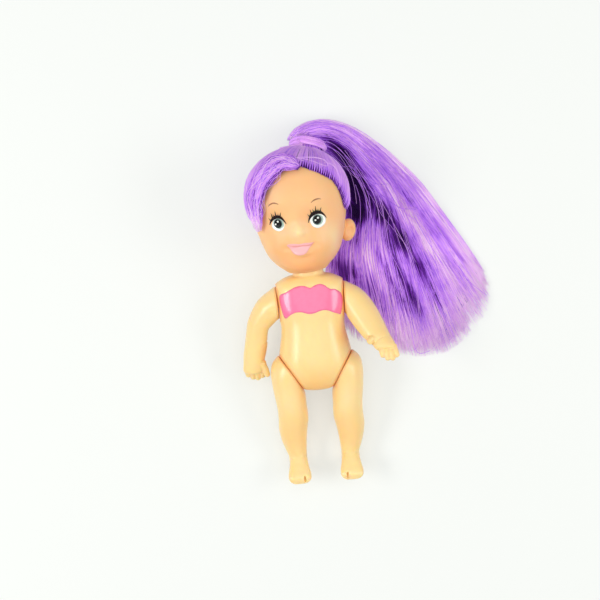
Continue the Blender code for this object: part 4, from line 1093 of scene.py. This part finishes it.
def strand_piece(name, paths, radii, tones, facing):
    """Thin three-sided tubes along paths, with a tone on every point."""
    strands, steps, _ = paths.shape
    radii, tones = (np.broadcast_to(values, (strands, steps)) for values in (radii, tones))
    run = unit(np.gradient(paths, axis=1))
    side = unit(np.cross(run, np.broadcast_to(facing, run.shape)))
    top = np.cross(side, run)
    corners = []
    for angle in (math.pi / 2, math.pi * 7 / 6, math.pi * 11 / 6):
        corners.append(paths + radii[..., None] * (side * math.cos(angle)
                                                   + top * math.sin(angle)))
    points = np.stack(corners, axis=2).reshape(-1, 3)
    base = (np.arange(strands)[:, None, None] * steps * 3
            + np.arange(steps - 1)[None, :, None] * 3)
    k = np.arange(3)[None, None, :]
    following = (k + 1) % 3
    quads = np.stack([base + k, base + 3 + k, base + 3 + following, base + following], axis=-1)
    quads = quads.reshape(-1, 4)
    first = np.arange(strands)[:, None] * steps * 3
    ends = np.concatenate([first + np.array([0, 1, 2]),
                           first + (steps - 1) * 3 + np.array([2, 1, 0])])
    mesh = bpy.data.meshes.new(name)
    mesh.vertices.add(len(points))
    mesh.vertices.foreach_set("co", points.ravel())
    mesh.loops.add(quads.size + ends.size)
    mesh.loops.foreach_set("vertex_index", np.concatenate([quads.ravel(), ends.ravel()]))
    mesh.polygons.add(len(quads) + len(ends))
    starts = np.concatenate([np.arange(len(quads)) * 4, quads.size + np.arange(len(ends)) * 3])
    mesh.polygons.foreach_set("loop_start", starts)
    mesh.update(calc_edges=True)
    give_tone(mesh, np.repeat(tones.ravel(), 3))
    mesh.shade_smooth()
    made = bpy.data.objects.new(name, mesh)
    bpy.context.scene.collection.objects.link(made)
    print(name, "has", strands, "strands")
    return made


print("the strands are drawn by lot from seed", seed)

# %% Hair fibre
hair_sheen, hair_glow = 0.22, 0.08


def hair_material(name, stops, roughness):
    """Nylon fibre: tone from the strand, with small changes along it.

    Its faint glow stands in for light that scatters inside the mass of fibres."""
    material, shader, place = new_material(name)
    tone = place.node("ShaderNodeAttribute", {"attribute_name": "tone"}).out("Fac")
    along = place.noise(260, 3)
    mixed = (tone + along * 0.24 - 0.12).clamped()
    colour = place.node("ShaderNodeValToRGB", {"stops": stops}, Fac=mixed)
    feed(shader, Base_Color=colour, Roughness=along * 0.16 + (roughness - 0.08),
         Normal=along.bumps(0.08, 0.03 * MM), Specular_IOR_Level=hair_sheen,
         Specular_Tint=linear(214, 170, 255), Emission_Color=colour,
         Emission_Strength=hair_glow)
    return material


lilac_stops = ((0.0, linear(26, 0, 52)), (0.16, linear(72, 14, 118)),
               (0.36, linear(136, 64, 198)), (0.56, linear(206, 140, 255)),
               (0.78, linear(236, 184, 255)), (1.0, linear(254, 226, 255)))
lilac_hair = hair_material("lilac_hair", lilac_stops, 0.42)
print("lilac runs from dark to pale over", len(lilac_stops), "stops")

# %% [markdown]
# ## The tie
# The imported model's wound lock is a ring, so its middle and its axis say where
# the ponytail leaves the head. The middle is the mean of its corners, and the axis
# is the direction in which the ring is thinnest.

# %% Where the tie sits
ring_points = np.array([vertex.co for vertex in frame["nodes"]["wrap_lock"].data.vertices])
tie_middle = Vector(ring_points.mean(axis=0))
_, _, spread = np.linalg.svd(ring_points - ring_points.mean(axis=0))
tie_axis = Vector(spread[2])
if tie_axis.dot(body_up) < 0:
    tie_axis.negate()
tie_x = Vector((0, 0, 1)).cross(tie_axis).normalized()
tie_y = tie_axis.cross(tie_x)


def round_tie(middle, across, up, along):
    """Points at three lengths from a place, along the tie's own three directions."""
    return (np.array(middle) + np.asarray(across)[..., None] * np.array(tie_x)
            + np.asarray(up)[..., None] * np.array(tie_y)
            + np.asarray(along)[..., None] * np.array(tie_axis))


print("tie at", in_mm(*tie_middle))

# %% [markdown]
# ## The combed cap
# Hair is rooted in plugs about 0.8 mm apart. Each tuft leaves its plug as a narrow
# wedge, and all tufts run over the skull to the tie, like lines of longitude to a
# pole. So a strand is a walk along such a line, held just above the skull by a ray
# cast, and between two wedges a notch shows, as on the real doll. The dark cap under
# the strands and the darker roots at the notches are painted shade; strands that
# stand higher, and strands near the tie, are made paler by painted light.
# A few fine hairs that slipped out of the comb stand off it in loops.

# %% Hairline
# azimuth from the face in half turns, height of the hairline up the head
hairline = ((0.000, 0.885), (0.100, 0.878), (0.190, 0.825), (0.300, 0.735), (0.395, 0.500),
            (0.440, 0.475), (0.660, 0.460), (0.720, 0.330), (0.800, 0.190), (1.000, 0.140))
to_head = head_frame.inverted()
head_centre = head_frame @ head_middle
tie_pole = (to_head.to_3x3() @ (tie_middle - head_centre)).normalized()
pole_x = tie_pole.cross(Vector((0, 0, 1))).normalized()
pole_y = tie_pole.cross(pole_x)


def on_skull(direction, lift):
    """Where a direction from the head's middle leaves the skull, lifted off it."""
    world = head_frame.to_3x3() @ direction
    hit, _, _, _ = skull_tree.ray_cast(head_centre, world)
    return hit + world * lift


def pole_direction(turn, angle):
    """A direction from the head's middle: turned round the tie, and so far from it."""
    sideways = pole_x * math.cos(turn) + pole_y * math.sin(turn)
    return tie_pole * math.cos(angle) + sideways * math.sin(angle)


def hair_reach(turn):
    """How far hair runs from the tie before it meets the hairline."""
    near, far = 0.05, math.pi
    for _ in range(18):
        middle = (near + far) / 2
        direction = pole_direction(turn, middle)
        spot = to_head @ on_skull(direction, 0.0)
        azimuth = abs(math.atan2(direction.x, direction.z)) / math.pi
        level = np.interp(azimuth, *zip(*hairline)) * head_height
        near, far = (middle, far) if spot.y > level else (near, middle)
    return near


start_angle, hem_angle = 0.10, 0.012
turns = np.linspace(0, 2 * math.pi, 240, endpoint=False)
reaches = np.array([hair_reach(turn) for turn in turns])
print("hair runs", round(math.degrees(reaches.min())), "to",
      round(math.degrees(reaches.max())), "degrees from the tie")

# %% Cap under the strands
def cap_ring(share, lift):
    """A ring of the cap, at a share of the way from the tie to the hairline."""
    return [on_skull(pole_direction(turn, start_angle
                                    + (reach - hem_angle - start_angle) * share), lift * MM)
            for turn, reach in zip(turns[::2], reaches[::2])]


cap_rings = [cap_ring(level / 21, 0.75 if level < 21 else 0.45) for level in range(22)]
under_rings = [cap_ring(level / 7, 0.15) for level in range(7, -1, -1)]
cap = wrapped("hair_cap", cap_rings + under_rings)
pick(cap)
bpy.ops.object.shade_smooth()
# the cap's dark tone is painted shade under the combed strands
cap_shade_tone = 0.12
give_tone(cap.data, np.full(len(cap.data.vertices), cap_shade_tone))
print("the cap has", len(cap.data.vertices), "corners")
finished(cap, "head", "lilac_hair", lilac_hair, "scalp_hair")

# %% Combed tufts
hem = np.array([on_skull(pole_direction(turn, reach), 0.0)
                for turn, reach in zip(turns, reaches)])
arc = np.append(0.0, np.cumsum(np.linalg.norm(np.diff(hem, axis=0), axis=1)))
tuft_pitch, per_tuft, comb_steps, comb_tone = 0.85 * MM, 11, 15, 0.68
tuft_count = int(arc[-1] / tuft_pitch)
tuft_turns = np.interp(np.linspace(0, arc[-1], tuft_count, endpoint=False), arc, turns)
share = np.linspace(0, 1, comb_steps)
comb_paths, comb_radii, comb_tones = [], [], []
for tuft, turn in enumerate(tuft_turns):
    pitch = (tuft_turns[(tuft + 1) % tuft_count] - turn) % (2 * math.pi)
    reach = np.interp(turn, turns, reaches) + dice.uniform(-0.012, 0.02)
    lock_tone = dice.uniform(-0.06, 0.06)
    depth = dice.uniform(0.25, 0.60)
    for _ in range(per_tuft):
        sway = dice.uniform(-0.55, 0.55) * pitch
        lift = dice.uniform(0.75, 1.55)
        wave = dice.uniform(-0.25, 0.25) * pitch
        path = []
        # it leaves the plug low and narrow, and rises once more at the tie
        for t in share:
            angle = reach + (start_angle * 0.8 - reach) * t
            spreading = min(1.0, t / 0.12)
            rise = 0.35 + (lift - 0.35) * min(1.0, t / 0.10) + 0.5 * t ** 6
            path.append(on_skull(pole_direction(turn + sway * spreading
                                                + wave * math.sin(3 * t), angle), rise * MM))
        comb_paths.append(path)
        width = dice.uniform(0.085, 0.15) * MM
        comb_radii.append(width * (0.75 + 0.25 * np.minimum(1, share / 0.1))
                          * (1 - 0.3 * share))
        # painted light: strands that stand higher are paler
        tone = comb_tone + lock_tone + dice.uniform(-0.07, 0.07) + (lift - 1.15) * 0.15
        # painted shade darkens the roots, most at a wedge's edges, and painted light makes the
        # strands near the tie paler
        edge = (abs(sway) / (0.55 * pitch)) ** 3
        comb_tones.append(tone - (0.10 + depth * edge) * np.exp(-(share / 0.10) ** 2)
                          + 0.14 * np.exp(-((1 - share) / 0.30) ** 2))
comb_paths = np.array([[tuple(p) for p in path] for path in comb_paths])
combed = strand_piece("combed_hair", comb_paths, np.array(comb_radii), np.array(comb_tones),
                      outwards(comb_paths, head_centre))
finished(combed, "head", "lilac_hair", lilac_hair)

# %% Loose loops on the cap
# middle across and up the head, half width and height, from and to in radians
loops = ((0.20, 0.93, 0.15, 0.055, 0.3, 6.6), (0.08, 0.95, 0.22, 0.05, 2.4, 4.2),
         (0.36, 0.84, 0.12, 0.12, -0.9, 1.9), (-0.20, 0.91, 0.16, 0.06, 0.4, 3.2),
         (0.28, 0.90, 0.20, 0.10, 1.2, 3.6))
# the loops are paler than the combed hair, as single fibres catch the light: a painted highlight
loop_radius, loop_tone = 0.09 * MM, 0.86
loop_paths = []
for middle_x, middle_y, wide, tall, begin, end in loops:
    path = []
    for angle in np.linspace(begin, end, 26):
        spot = Vector((middle_x + wide * math.cos(angle), middle_y + tall * math.sin(angle),
                       0.25)) * head_height - head_middle
        path.append(tuple(on_skull(spot.normalized(), (2.0 + 0.5 * math.sin(angle * 2)) * MM)))
    loop_paths.append(path)
loop_paths = np.array(loop_paths)
loose = strand_piece("loose_loops", loop_paths, loop_radius, loop_tone,
                     outwards(loop_paths, head_centre))
finished(loose, "head", "lilac_hair", lilac_hair)

# %% [markdown]
# ## The ponytail
# The ponytail is gathered to a round root and then opens to a flat fan on the
# table. The fan is described by a few sections: where its outer and inner edges
# are, how high it stands and how high its rim is. A strand keeps its place between
# the edges, and its height, all the way down, so strands never cross the fan's
# limits. Then it leaves for its own tip on the ragged end of the fan. The long pale
# and dark streaks are painted highlights and painted shade, marked by short lines
# over the fan, and a strand turns paler or darker where it passes one of them.
# Painted light also makes strands high in the fan and the tips paler, and painted
# shade makes low strands darker.

# %% Shape of the fan
tail_length, tail_height, tail_root = 100.0 * MM, 20.0 * MM, 4.6 * MM
tie_seat = tie_middle - tie_axis * 1.79 * MM
# outer x, y, inner x, y in ponytail lengths from the tie; top, rim, underside
fan_rows = (
    (-0.066, 0.053, 0.066, 0.02, 0.8, 0.5, 0.16), (-0.046, 0.082, 0.068, 0.004, 0.85, 0.4, 0.06),
    (0.001, 0.109, 0.074, -0.012, 0.8, 0.3, 0.015), (0.069, 0.117, 0.087, -0.027, 0.74, 0.23, 0),
    (0.141, 0.098, 0.092, -0.054, 0.68, 0.17, 0), (0.204, 0.062, 0.098, -0.087, 0.59, 0.12, 0),
    (0.273, 0.003, 0.109, -0.136, 0.5, 0.08, 0), (0.339, -0.065, 0.111, -0.184, 0.45, 0.07, 0),
    (0.403, -0.141, 0.107, -0.239, 0.42, 0.06, 0),
)
# along the ragged end, from the outer to the inner side
fan_ends = np.array((
    (0.595, -0.470), (0.606, -0.520), (0.598, -0.580), (0.565, -0.635), (0.505, -0.690),
    (0.430, -0.732), (0.345, -0.738), (0.270, -0.722), (0.200, -0.695), (0.135, -0.670),
    (0.090, -0.635), (0.055, -0.570), (0.030, -0.480)))
# the round root's rings: mm from the seat, and share of the root's radius
root_rings = ((-0.6, 0.96), (1.8, 0.96), (3.4, 1.0), (5.0, 1.3))


def fan_spot(row, across, high):
    """Points of the fan: a row of it, a share across, a share of the height."""
    outer_x, outer_y, inner_x, inner_y, top, rim, under = row
    swell = np.sin(np.pi * across) ** 0.6 * (1 - 0.45 * across)
    above = (rim + (top - rim) * swell) * tail_height
    below = under * tail_height + 0.3 * MM
    return np.stack([tie_seat.x + (outer_x + (inner_x - outer_x) * across) * tail_length,
                     tie_seat.y + (outer_y + (inner_y - outer_y) * across) * tail_length,
                     below + (above - below) * high], axis=-1)


def fan_paths(across, high, end_across, reach, samples, drift=None):
    """Strand paths from the tie through the fan to the ragged end."""
    rows = []
    turn = np.pi * np.clip(across, 0, 1)
    for level, wide in root_rings:
        rows.append(round_tie(
            tie_seat, np.cos(turn) * wide * tail_root,
            (2 * np.minimum(high, 1) - 1) * np.sin(turn) * wide * tail_root, level * MM))
    for index, row in enumerate(fan_rows):
        way = index / (len(fan_rows) - 1)
        moved = across + (drift(way) if drift else 0)
        rows.append(fan_spot(row, np.clip(moved, 0, 1), high))
    end_at = np.clip(end_across, 0, 1) * (len(fan_ends) - 1)
    end_x, end_y = (np.interp(end_at, np.arange(len(fan_ends)), ends) * tail_length
                    for ends in fan_ends.T)
    end_z = (0.5 + 3.2 * high * np.sin(np.pi * np.clip(end_across, 0.05, 0.95))) * MM
    tips = np.stack([tie_seat.x + end_x, tie_seat.y + end_y, end_z], axis=-1)
    last, before = rows[-1], rows[-2]
    for share, bow in ((0.34, 0.16), (0.68, 0.13)):
        middle = last + (tips - last) * share
        middle[:, :2] += (last - before)[:, :2] * bow * (1 - np.clip(across, 0, 1))[:, None]
        middle[:, 0] -= 4.0 * MM * np.clip(across * 3 - 2, 0, 1) ** 2 * (1 - share)
        middle[:, 2] = last[:, 2] + (tips[:, 2] - last[:, 2]) * share ** 0.8
        rows.append(middle)
    rows.append(last + (tips - last) * reach[:, None])
    return evened(curve_through(np.stack(rows, axis=1), 90), samples)


print("the fan's sections:", len(root_rings) + len(fan_rows), "and its ends:", len(fan_ends))

# %% Dark form under the strands
core_count, core_steps = 26, 40
core_across = np.linspace(0.03, 0.97, core_count)
top_paths, low_paths = (fan_paths(core_across, np.full(core_count, high), core_across,
                                  np.full(core_count, 0.9), core_steps)
                        for high in (0.55, 0.06))
# its end is pinched shut, so that no dark wall shows between the tips
low_paths[:, -1] = top_paths[:, -1]
core = wrapped("ponytail_core", np.concatenate([top_paths, low_paths[::-1]]).swapaxes(0, 1))
pick(core)
bpy.ops.object.shade_smooth()
facing = np.zeros(len(core.data.vertices) * 3, np.float32)
core.data.vertex_normals.foreach_get("vector", facing)
# the dark tone on top is painted shade of the deep hair; the side that faces the table is paler
core_shade_tone, core_under = 0.02, 0.42
give_tone(core.data, np.where(facing[2::3] < -0.1, core_under, core_shade_tone))
print("the dark form has", len(core.data.vertices), "corners")

# %% Strands of the ponytail
# painted highlights and shade along the fan: from and to, in mm from the tie as seen from above;
# half width; paler or darker
painted_fan_streaks = (
    (7.2, 3.8, 12.8, -2.2, 2.2, -0.45), (12.8, -2.2, 16.7, -11.6, 3.0, -0.64),
    (16.4, -10.9, 17.8, -24.1, 3.2, -0.74), (15.3, -10.8, 15.0, -23.1, 2.2, -0.30),
    (19.3, -14.8, 26.4, -25.2, 2.5, -0.45), (25.7, -24.4, 32.4, -35.2, 3.4, -0.26),
    (31.8, -34.0, 38.0, -45.5, 3.0, -0.28), (37.4, -44.7, 42.0, -58.2, 1.8, -0.30),
    (25.8, -7.3, 35.9, -21.0, 1.4, -0.26), (35.9, -21.0, 45.2, -34.5, 1.4, -0.22),
    (25.6, -33.5, 33.2, -54.5, 1.1, -0.30), (22.0, -37.5, 29.9, -58.6, 1.1, -0.26),
    (33.0, -53.0, 36.8, -63.6, 1.4, -0.26), (28.5, -42.5, 32.7, -60.3, 1.1, -0.20),
    (15.7, -23.1, 16.2, -33.4, 2.5, -0.30), (5.5, -38.9, 10.0, -45.9, 3.2, -0.34),
    (11.7, -43.1, 16.8, -50.9, 2.2, -0.22), (9.9, 10.1, 24.0, 4.5, 3.2, 0.14),
    (24.0, 4.5, 33.9, -5.9, 3.2, 0.22), (33.9, -5.9, 43.5, -20.6, 2.9, 0.24),
    (43.5, -20.6, 53.5, -38.9, 2.9, 0.24), (53.5, -38.9, 58.7, -53.5, 3.2, 0.12),
    (18.4, -0.9, 28.0, -15.2, 1.8, 0.18), (28.0, -15.2, 35.3, -26.7, 2.2, 0.28),
    (35.3, -26.7, 41.9, -38.6, 2.2, 0.28), (41.9, -38.6, 48.1, -50.8, 2.5, 0.18),
    (15.9, -29.0, 19.9, -41.0, 1.8, 0.16), (18.1, -37.2, 22.0, -50.2, 1.4, 0.16),
    (24.5, -24.5, 29.5, -36.5, 2.6, -0.22), (33.0, -56.0, 37.0, -68.0, 3.0, -0.10),
    (19.5, -48.0, 23.5, -62.0, 2.6, -0.16),
)


def painted_streak_tone(paths, along):
    """How much painted light and shade make each point of the strands paler or darker."""
    spots = (paths[..., :2] - np.array(tie_seat)[:2]) / MM
    # painted light: the tip of every strand is paler
    total = 0.36 * np.clip((along[None, :] - 0.84) / 0.16, 0, 1) * np.ones(spots.shape[:2])
    for from_x, from_y, to_x, to_y, wide, amount in painted_fan_streaks:
        start, run = np.array([from_x, from_y]), np.array([to_x - from_x, to_y - from_y])
        share = np.clip((spots - start) @ run / (run @ run), 0, 1)
        gap = np.linalg.norm(spots - start - share[..., None] * run, axis=-1)
        total += amount * np.exp(-(gap / wide) ** 2)
    return np.maximum(total, -0.8)


# least and greatest share of the fan's height, and how many strands
fan_layers = ((0.05, 0.55, 1000), (0.45, 0.75, 1100), (0.60, 0.92, 1150), (0.78, 1.0, 1150),
              (0.88, 1.05, 900))
samples, lock_count, tail_tone = 24, 120, 0.58
along = np.linspace(0, 1, samples)
tail_pieces = []
for layer, (low, high_limit, strand_count) in enumerate(fan_layers):
    lock_across = dice.uniform(0.0, 1.48, lock_count)
    lock_high = dice.uniform(low, high_limit, lock_count)
    lock_tone = dice.normal(0, 0.13, lock_count)
    lock_drift = dice.normal(0, 0.045, lock_count)
    lock_reach = dice.normal(0, 0.03, lock_count)
    lock = dice.integers(0, lock_count, strand_count)
    spread_across = dice.normal(0, 0.035, strand_count)
    across = np.maximum(lock_across[lock] + spread_across, 0.0)
    slant = -0.45 * np.clip((across - 0.35) / 0.65, 0, 1)
    high = np.clip(lock_high[lock] + dice.normal(0, 0.03, strand_count), 0.02, 1.04)
    end_across = (lock_across[lock] + lock_drift[lock] + spread_across * 0.45 + slant
                  + dice.normal(0, 0.012, strand_count))
    reach = np.clip(1.05 + lock_reach[lock] - np.abs(dice.normal(0, 0.08, strand_count)),
                    0.70, 1.07)
    paths = fan_paths(across, high, end_across, reach, samples,
                      lambda way: slant * way ** 1.5)
    phase = spans(0, 2 * np.pi, strand_count) * 0.25 + lock[:, None] * 2.4
    wave = np.sin(phase + along[None, :] * spans(5, 11, strand_count))
    sideways = unit(np.cross(np.gradient(paths, axis=1), np.array([0.0, 0.0, 1.0])))
    paths += sideways * (wave * along[None, :] ** 0.8 * spans(0.15, 0.75, strand_count)
                         * MM)[..., None]
    paths[..., 2] = np.maximum(paths[..., 2] + np.sin(phase * 1.7 + along[None, :] * 7)
                               * 0.18 * MM * along[None, :], 0.25 * MM)
    tone = tail_tone + lock_tone[lock][:, None] + dice.normal(0, 0.05, (strand_count, 1))
    # painted light and shade: strands high in the fan paler, low ones darker, and the painted
    # streaks
    tone = tone + 0.30 * (high[:, None] - 0.75) + painted_streak_tone(paths, along)
    radii = spans(0.13, 0.20, strand_count) * MM * (
        1.0 - 0.82 * np.clip((along[None, :] - 0.76) / 0.24, 0, 1))
    tail_pieces.append(strand_piece("ponytail_layer_%d" % layer, paths, radii, tone, (0, 0, 1)))


def trailing(piece):
    """Hair that leaves the head and stays where it lies when the head turns."""
    finished(piece, None, "lilac_hair", lilac_hair)
    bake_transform(piece)


for made in (core, *tail_pieces):
    trailing(made)
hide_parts("ponytail")

# %% [markdown]
# ## Loose hairs
# A few fine hairs always escape. They are paler than the locks, because single
# fibres catch the light, and they curl more.

# %% Flyaways
hairs, beside_hairs, wander_steps, fine_steps = 66, 8, 24, 30
way = np.linspace(0, 1, wander_steps)[None, :]
# each hair wanders from one place of the fan to another, just above the locks, and a
# few lie beside the fan's inner edge
beside = np.arange(hairs)[:, None] < beside_hairs
across = spans(0.08, 0.74, hairs) * ~beside + spans(0.55, 1.05, hairs) * beside
across = across + (dice.normal(-0.05, 0.12, (hairs, 1)) * ~beside
                   + dice.normal(-0.30, 0.30, (hairs, 1)) * beside) * way
across += spans(0.01, 0.07, hairs) * np.sin(spans(0, 6.28, hairs) + spans(2, 8, hairs) * way)
begin = spans(0.02, 0.50, hairs) * ~beside + spans(0.10, 0.34, hairs) * beside
length = spans(0.3, 0.75, hairs) * ~beside + spans(0.12, 0.50, hairs) * beside
at = np.clip(begin + length * way, 0, 1.0)
inside = np.clip(across, 0.06, 1).ravel()
ground = fan_paths(inside, (spans(1.02, 1.2, hairs) + way * 0).ravel(), inside,
                   np.full(across.size, 1.04), 90)
paths = ground[np.arange(across.size), np.round(at.ravel() * 89).astype(int)]
paths = curve_through(paths.reshape(hairs, wander_steps, 3)[:, ::3], fine_steps)
arch = np.sin(np.pi * np.linspace(0, 1, fine_steps))[None, :]
paths[..., 2] += spans(0.1, 1.0, hairs) * arch * MM
trailing(strand_piece("flyaways", paths, spans(0.07, 0.14, hairs) * MM,
                      spans(0.50, 0.76, hairs) - 0.06 * beside, (0, 0, 1)))

# %% [markdown]
# ## The tie and the wound lock
# A thin elastic holds the root, and a lock of the same hair is wound round it to
# hide it. Seen from the front the wound lock is a pale arc. Its fibres run round
# the ring, so each strand here is a slightly tilted circle. The lock's free end
# runs over the front of the ring to the doll's right and lies on the combed hair.

# %% Elastic
elastic_material, elastic_shader, elastic_place = new_material("elastic")
weave = elastic_place.noise(900)
feed(elastic_shader, Base_Color=weave.mixed(linear(110, 64, 150), linear(90, 50, 130)),
     Roughness=weave * 0.2 + 0.5, Normal=weave.bumps(0.3, 0.05 * MM))
elastic = frame["nodes"]["hair_elastic"]
dress(elastic, elastic_material)
print("size of the elastic in mm:", in_mm(*elastic.dimensions))

# %% Wound lock
ring_steps, wound_count, fibre = 72, 150, 0.13 * MM
# the lock's ring: its radius, and half its thickness and breadth
wound_radius, wound_thick, wound_broad = 6.0 * MM, 0.75 * MM, 1.30 * MM
# a lighter copy of the same lilac fibre for the locks that lie on top: painted light
lit_hair = hair_material("pale_lilac_hair", tuple(
    (place, tuple(min(1.0, c * 1.06) for c in colour)) for place, colour in lilac_stops), 0.36)
turn = np.linspace(0, 2 * np.pi, ring_steps)[None, :]
around = spans(0, 2 * np.pi, wound_count)
out = wound_radius + wound_thick * np.cos(around) + 0.12 * MM * np.sin(3 * turn + around)
rise = wound_broad * np.sin(around) * (0.62 + 0.38 * np.sin(turn)) \
    + 0.25 * MM * np.sin(turn + around * 2)
wound = round_tie(tie_middle, out * np.cos(turn), out * np.sin(turn), rise)
# painted light: the wound lock is paler on the ring's upper side
wound_tone = 0.66 + dice.normal(0, 0.06, (wound_count, 1)) + 0.08 * np.sin(turn)
wound_piece = strand_piece("wound_lock", wound, fibre, wound_tone,
                           outwards(wound, tie_middle))
finished(wound_piece, "head", "pale_lilac_hair", lit_hair, "wrap_lock")

# %% Free end of the wound lock
end_count, end_steps, end_fibre = 60, 24, 0.12 * MM
lock_end = np.array(on_skull(to_head.to_3x3() @ (Vector((-24.0, 53.2, 20.0)) * MM
                                                 - head_centre).normalized(), 1.9 * MM))
turn = np.radians((142, 115, 85, 55))
ring_part = round_tie(tie_middle, 6.5 * MM * np.cos(turn), 6.5 * MM * np.sin(turn), 0.0)
halfway = (lock_end + ring_part[0]) / 2 + np.array((-0.3, 0.5, 0.9)) * MM
route = np.array([*ring_part, halfway, lock_end])
# how widely the fibres scatter at each point of the route, in mm
widths = np.array([0.55, 0.6, 0.6, 0.5, 0.34, 0.12]) * 0.8
scatter = dice.normal(0, 1, (end_count, 1, 3)) * widths[None, :, None] * MM
end_paths = curve_through(route[None] + scatter, end_steps)
end_tone = 0.76 + dice.normal(0, 0.06, (end_count, 1))
print("wound lock ends at", in_mm(*lock_end))
wound_end = strand_piece("wound_end", end_paths, end_fibre, end_tone,
                         outwards(end_paths, tie_middle))
finished(wound_end, "head", "pale_lilac_hair", lit_hair)

# %% [markdown]
# ## The side lock
# From the parting a broad pale lock is swept over the temple and ends beside the
# eye. It follows the skull, so its strands are laid between its two edge lines by
# the same ray cast that lays the combed hair.

# %% Side lock
# across, up, forward as shares of the head's height, half width in mm
lock_rows = (
    (0.072, 0.846, 0.314, 0.5), (0.038, 0.874, 0.296, 1.9), (-0.02, 0.9, 0.268, 3.4),
    (-0.085, 0.9, 0.26, 4.2), (-0.15, 0.868, 0.268, 4.4), (-0.215, 0.805, 0.28, 4.2),
    (-0.262, 0.735, 0.28, 4.2), (-0.29, 0.66, 0.272, 4), (-0.298, 0.585, 0.262, 3.6),
    (-0.298, 0.515, 0.256, 2.9), (-0.294, 0.46, 0.254, 2), (-0.288, 0.425, 0.258, 0.9),
)
fine_lock = np.array(smooth_rows(lock_rows, 5))
side_count, wisp_count, side_steps, side_tone = 420, 26, 22, 0.53
down = np.linspace(0, 1, side_steps)
thinning = np.concatenate([np.full(17, 1.0), np.linspace(1.0, 0.3, 5)])


def lock_row(k):
    """A row of the side lock, also between two of its rows."""
    return [np.interp(k, np.arange(len(fine_lock)), column) for column in fine_lock.T]


lock_paths, lock_radii, lock_tones = [], [], []
for strand in range(side_count + wisp_count):
    wisp = strand >= side_count
    place_across = dice.uniform(-1, 1) * (1.35 if wisp else 1)
    lift = 1.6 + 1.1 * math.sqrt(max(0, 1 - place_across ** 2)) * dice.uniform(0.2, 1.0) \
        + 0.5 * wisp
    stop = len(fine_lock) - int(dice.integers(0, 12) * (0.3 + abs(place_across)))
    wave, phase = dice.uniform(0, 0.5 if wisp else 0.22), dice.uniform(0, 6.28)
    path = []
    for k in np.linspace(0, stop - 1, side_steps):
        *middle, half_width = lock_row(k)
        spot = Vector(middle) * head_height - head_middle
        run = (Vector(lock_row(k + 1)[:3]) - Vector(lock_row(k - 1)[:3])).normalized()
        over = run.cross(spot.normalized())
        offset = place_across + wave * math.sin(phase + k * 0.35)
        spot += over * (half_width * MM * max(-1.5, min(1.5, offset)))
        path.append(tuple(on_skull(spot.normalized(), lift * MM)))
    lock_paths.append(path)
    lock_radii.append(dice.uniform(0.10, 0.16) * (0.6 if wisp else 1) * MM * thinning)
    # painted light and shade: wisps paler as lit single fibres, the root under the parting
    # darker as painted shade, and the thinning end paler as painted light; the tone also changes
    # in bands across the lock, and its edge strands are darker
    base = side_tone + 0.28 * wisp + dice.normal(0, 0.08) \
        + 0.10 * math.sin(place_across * 9) - 0.22 * (abs(place_across) > 0.85)
    lock_tones.append(base - 0.3 * np.exp(-(down / 0.05) ** 2)
                      - 0.05 * np.exp(-((down - 0.72) / 0.16) ** 2)
                      + 0.50 * np.clip((down - 0.74) / 0.26, 0, 1))
lock_paths = np.array(lock_paths)
side_lock = strand_piece("side_lock", lock_paths, np.array(lock_radii), np.array(lock_tones),
                         outwards(lock_paths, head_centre))
finished(side_lock, "head", "pale_lilac_hair", lit_hair, "fringe_lock")
